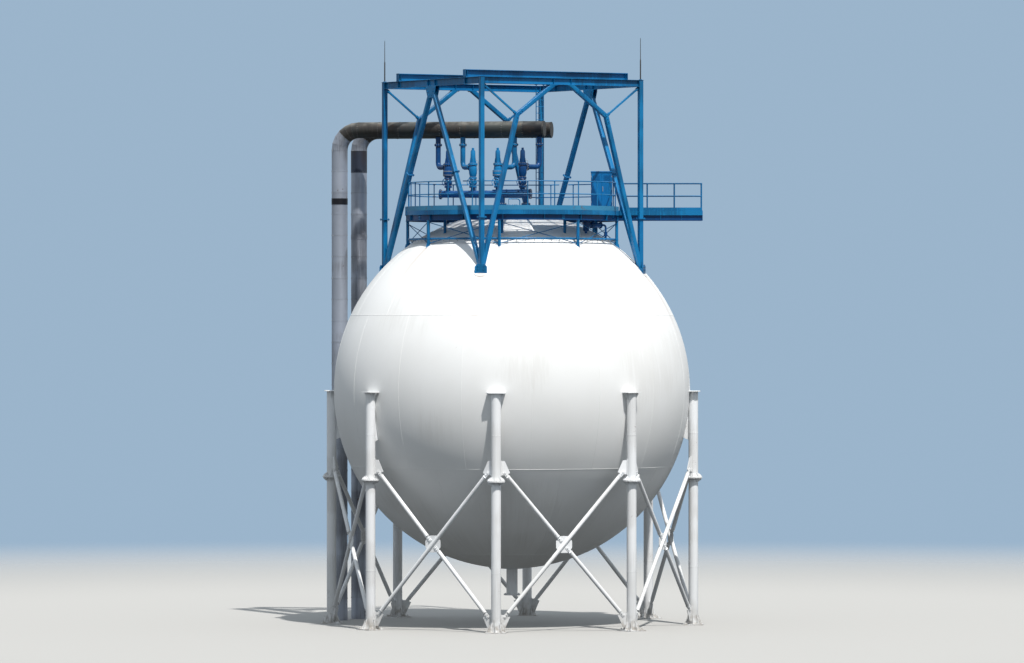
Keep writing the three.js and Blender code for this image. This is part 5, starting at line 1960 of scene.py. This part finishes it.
def valve_outlet(work, x, y, shift):
    """The outlet of a relief valve, which rises into the front header."""
    side_y = HEADERS["front"][0]
    under_header = HEADER_HEIGHT - HEADER_RADIUS
    riser = (x + shift, side_y)
    corners = [(x, y, OUTLET_HEIGHT), (*riser, OUTLET_HEIGHT), (*riser, under_header + 0.01)]
    work.tube(rounded_path(corners, OUTLET_BEND), OUTLET_RADIUS, 32)
    place = facing((shift, side_y - y, 0), (x, y, OUTLET_HEIGHT))
    work.disc((0, 0), 0.245, 0.278, OUTLET_RADIUS + 0.06, 32, place)
    work.disc((0, 0), 0.282, 0.315, OUTLET_RADIUS + 0.06, 32, place)
    for distance, down in ((0.315, False), (0.245, True)):
        work.bolt_circle("piping", (0, 0), OUTLET_RADIUS + 0.033, 8, distance, 0.018, place, down)
    flange_pair(work, riser, under_header - 0.34, OUTLET_RADIUS + 0.06, 8, 0.03)


def handwheel(work, hub):
    """The handwheel of the isolating valve, on its yoke. The frame of the hub points outwards."""
    work.disc((0, 0), 0.14, 0.26, 0.058, 24, hub)
    work.disc((0, 0), 0.2, 0.235, 0.085, 24, hub)
    work.disc((0, 0), 0.25, 0.44, 0.016, 12, hub, finish=ZINC)
    rim = [(0.175 + x, 0.412 + y) for x, y in circle(0.015, 10)]
    work.lathe(rim, hub, 40, loop=True)
    work.disc((0, 0), 0.392, 0.43, 0.035, 16, hub)
    for x, y in circle(0.172, 5):
        work.tube([hub @ Vector((0, 0, 0.412)), hub @ Vector((x, y, 0.412))], 0.01, 8)


def relief_valve(index, x, shift):
    work = Work(PIPING)
    y = MANIFOLD_Y
    seat = Matrix.Translation((x, y, VALVE_SEAT))
    work.lathe(STEM, seat, 36)
    for radius, rise, down in STEM_BOLTS:
        work.bolt_circle("piping", (0, 0), radius, 12, rise, 0.018, seat, down)
    if index in (1, 3):
        work.lathe(JACKET, seat, 36)
        for rise in (0.52, 0.69):
            work.band(0.23, 0.239, rise, rise + 0.025, seat, 36, finish=ZINC)
    # Ribs on the spring bonnet
    for k in range(6):
        out = around(1, 60 * k)
        at = Vector((x, y, VALVE_SEAT + 1.06)) + out * 0.1
        triangle_rib(work, at, out, 0.055, 0.22, 0.012)
    valve_outlet(work, x, y, shift)
    # A thin gauge line beside the bonnet
    gauge = [(0.16, 0.75), (0.24, 0.75), (0.24, 1.2), (0.06, 1.2)]
    path = [(x + aside, y, VALVE_SEAT + rise) for aside, rise in gauge]
    work.tube(rounded_path(path, 0.05, 4), 0.009, 8, finish=ZINC)
    handwheel(work, facing((0, -1, 0), (x, y, VALVE_SEAT + 0.2)))
    paint = BLUE if index in (2, 3) else NAVY
    finished(f"relief_valve_{index}_body", work, paint, f"relief_valve_{index}")


# The riser bracket and the bottom nozzle

def make_riser_bracket():
    work = Work(PIPING)
    risers = [Vector((HEADERS[key][1], HEADERS[key][0], BRACKET_HEIGHT)) for key in ("front", "back")]
    # It stands on the second and the third column to the left of the front one.
    turn = COLUMN_TURN - HEADER_TURN
    share = 360 / COLUMNS
    posts = [around(COLUMN_CIRCLE, turn - share * step, BRACKET_HEIGHT) for step in (2, 3)]
    section = rounded(BRACKET_BAR, 0.014)
    sleeve = HEADER_RADIUS + 0.01
    between = (risers[1] - risers[0]).normalized()
    work.bar(risers[0] + between * sleeve, risers[1] - between * sleeve, section)
    for riser, post in zip(risers, posts):
        along = (riser - post).normalized()
        work.bar(post + along * (COLUMN_RADIUS + GAP), riser - along * sleeve, section)
        low = post - Vector((0, 0, BRACKET_DROP))
        high = post.lerp(riser, 0.72)
        lean = (high - low).normalized()
        # The strut starts at the column's face.
        start = low + lean * ((COLUMN_RADIUS - 0.005) / lean.xy.length)
        work.bar(start, high, rounded(BRACKET_STRUT, 0.01))
        for height in (0.0, -BRACKET_DROP + 0.2):
            at = post + Vector((0, 0, height)) + along * COLUMN_RADIUS
            work.bar(at - along * 0.004, at + along * 0.016, rectangle(0.26, 0.3))
            place = facing(along, at + along * 0.016)
            for sx, sy in ((-1, -1), (1, -1), (1, 1), (-1, 1)):
                work.bolt("column", place @ Vector((sx * 0.1, sy * 0.12, 0)), along, 0.026)
        # A collar with a flange at its top and at its bottom
        place = Matrix.Translation(riser)
        work.band(HEADER_RADIUS + 0.0065, HEADER_RADIUS + 0.022, -0.085, 0.085, place, 64)
        inner, outer = HEADER_RADIUS + 0.02, HEADER_RADIUS + COLLAR_WALL
        for edge in (-0.085, 0.071):
            work.band(inner, outer, edge, edge + 0.014, place, 64)
    finished("riser_bracket_steel", work, COLUMN_WHITE, "riser_bracket", bevel=0.002)


def make_bottom_nozzle():
    work = Work()
    top = CENTRE - SPHERE + 0.06
    work.disc((0, 0), BOTTOM_END + 0.02, top, BOTTOM_NOZZLE, 48)
    work.disc((0, 0), BOTTOM_END + 0.032, BOTTOM_END + 0.06, BOTTOM_FLANGE, 48)
    work.disc((0, 0), BOTTOM_END, BOTTOM_END + 0.028, BOTTOM_FLANGE, 48)
    work.bolt_circle("column", (0, 0), BOTTOM_FLANGE - 0.05, 20, BOTTOM_END + 0.06, 0.026)
    pad(work, (0, 0, -1), 0.5, 0.02, (0, 0, CENTRE), sides=64)
    finished("bottom_nozzle_pipe", work, COLUMN_WHITE, "bottom_nozzle", bevel=0.002)


make_shell()
make_welds()
for index in range(COLUMNS):
    column(index)
    cross_brace(index)
for corner in CORNERS:
    gantry_post(corner)
a_frame("a_frame_front_left", -1)
a_frame("a_frame_back_right", 1)
for index, corner in enumerate(CORNERS):
    knee_leg(index + 1, corner)
make_top_frame()
make_hoist_ladder()
make_deck()
make_platform_frame()
make_leg_stays()
make_spray_nozzles()
platform_rail("platform_rail_back", WALKWAY_GAP[1], RAIL_SPLIT - RAIL_SPLIT_GAP / 2)
platform_rail("platform_rail_front", RAIL_SPLIT + RAIL_SPLIT_GAP / 2, 360 + WALKWAY_GAP[0])
make_cabinet()
make_walkway()
header("vent_header_front", [(8.42, 0.28, TARRED)])
header("vent_header_back", [(9.9, 1.0, SOOTED), (6.85, 0.14, CLADDING)])
make_manifold()
for index, (x, shift) in enumerate(zip(VALVE_XS, OUTLET_SHIFTS)):
    relief_valve(index + 1, x, shift)
make_riser_bracket()
make_bottom_nozzle()

# All bolts, by the steel that they hold
FASTENER_FINISHES = {"column": (COLUMN_WHITE, "column_paint"), "gantry": (BLUE, "gantry_paint"),
                     "platform": (BLUE, "gantry_paint"), "piping": (ZINC, "valve_paint")}
for group, (material, slot) in FASTENER_FINISHES.items():
    places = [(at, axis, (size, size, size)) for at, axis, size in fasteners[group]]
    placed(group + "_bolts", "bolt", places, material)


# Ground, light and camera

def make_ground():
    """A pale floor that fades out with distance."""
    work = Work()
    work.prism(circle(GROUND_RADIUS, 96), 0.05, Matrix.Translation((0, 0, -0.05)))
    material = bpy.data.materials.new("ground")
    material.use_nodes = True
    graph = Graph(material.node_tree)
    place = graph.node("ShaderNodeTexCoord").outputs["Object"]
    shader = material.node_tree.nodes["Principled BSDF"]
    shader.inputs["Base Color"].default_value = (0.40, 0.395, 0.38, 1)
    shader.inputs["Roughness"].default_value = 0.9
    graph.feed(shader.inputs["Alpha"], graph.fall(graph.length(place), *GROUND_FADE))
    mesh = bpy.data.meshes.new("ground")
    mesh.from_pydata(work.points, [], work.faces)
    mesh.materials.append(material)
    floor = linked("ground", mesh)
    # The floor gives no bounced light. What comes from below is the dark half of the sky.
    floor.visible_diffuse = False
    floor.visible_glossy = False


def make_light():
    """A high sun from the front right, and a sky that fills the shade."""
    sun = linked("sun", bpy.data.lights.new("sun", "SUN"))
    sun.data.energy = 4.6
    sun.data.color = (1.0, 0.97, 0.93)
    sun.data.angle = math.radians(1.2)
    sun.matrix_world = facing(around(1, SUN_AZIMUTH, math.tan(math.radians(SUN_HEIGHT))))
    world = bpy.data.worlds.new("sky")
    world.use_nodes = True
    graph = Graph(world.node_tree)
    fill = world.node_tree.nodes["Background"]
    upward = graph.split(graph.node("ShaderNodeTexCoord").outputs["Generated"])[2]
    above = graph.step(upward, -0.15, 0.15)
    graph.feed(fill.inputs["Color"], graph.mix(above, (0.10, 0.105, 0.105, 1), (0.56, 0.62, 0.68, 1)))
    backdrop = graph.wired("ShaderNodeBackground", {"Color": (0.33, 0.46, 0.60, 1)})
    seen = graph.node("ShaderNodeLightPath").outputs["Is Camera Ray"]
    sky = graph.wired("ShaderNodeMixShader", {0: seen, 1: fill.outputs[0], 2: backdrop})
    graph.feed(world.node_tree.nodes["World Output"].inputs["Surface"], sky)
    bpy.context.scene.world = world


def make_camera():
    camera = linked("camera", bpy.data.cameras.new("camera"))
    camera.data.lens = CAMERA_LENS
    camera.data.sensor_width = 36
    camera.data.clip_start = 1
    camera.data.clip_end = 2000
    eye = Vector(CAMERA_EYE)
    camera.matrix_world = facing(eye - Vector(CAMERA_TARGET), eye)
    bpy.context.scene.camera = camera


make_ground()
make_light()
make_camera()
bpy.context.scene.view_settings.view_transform = "Standard"
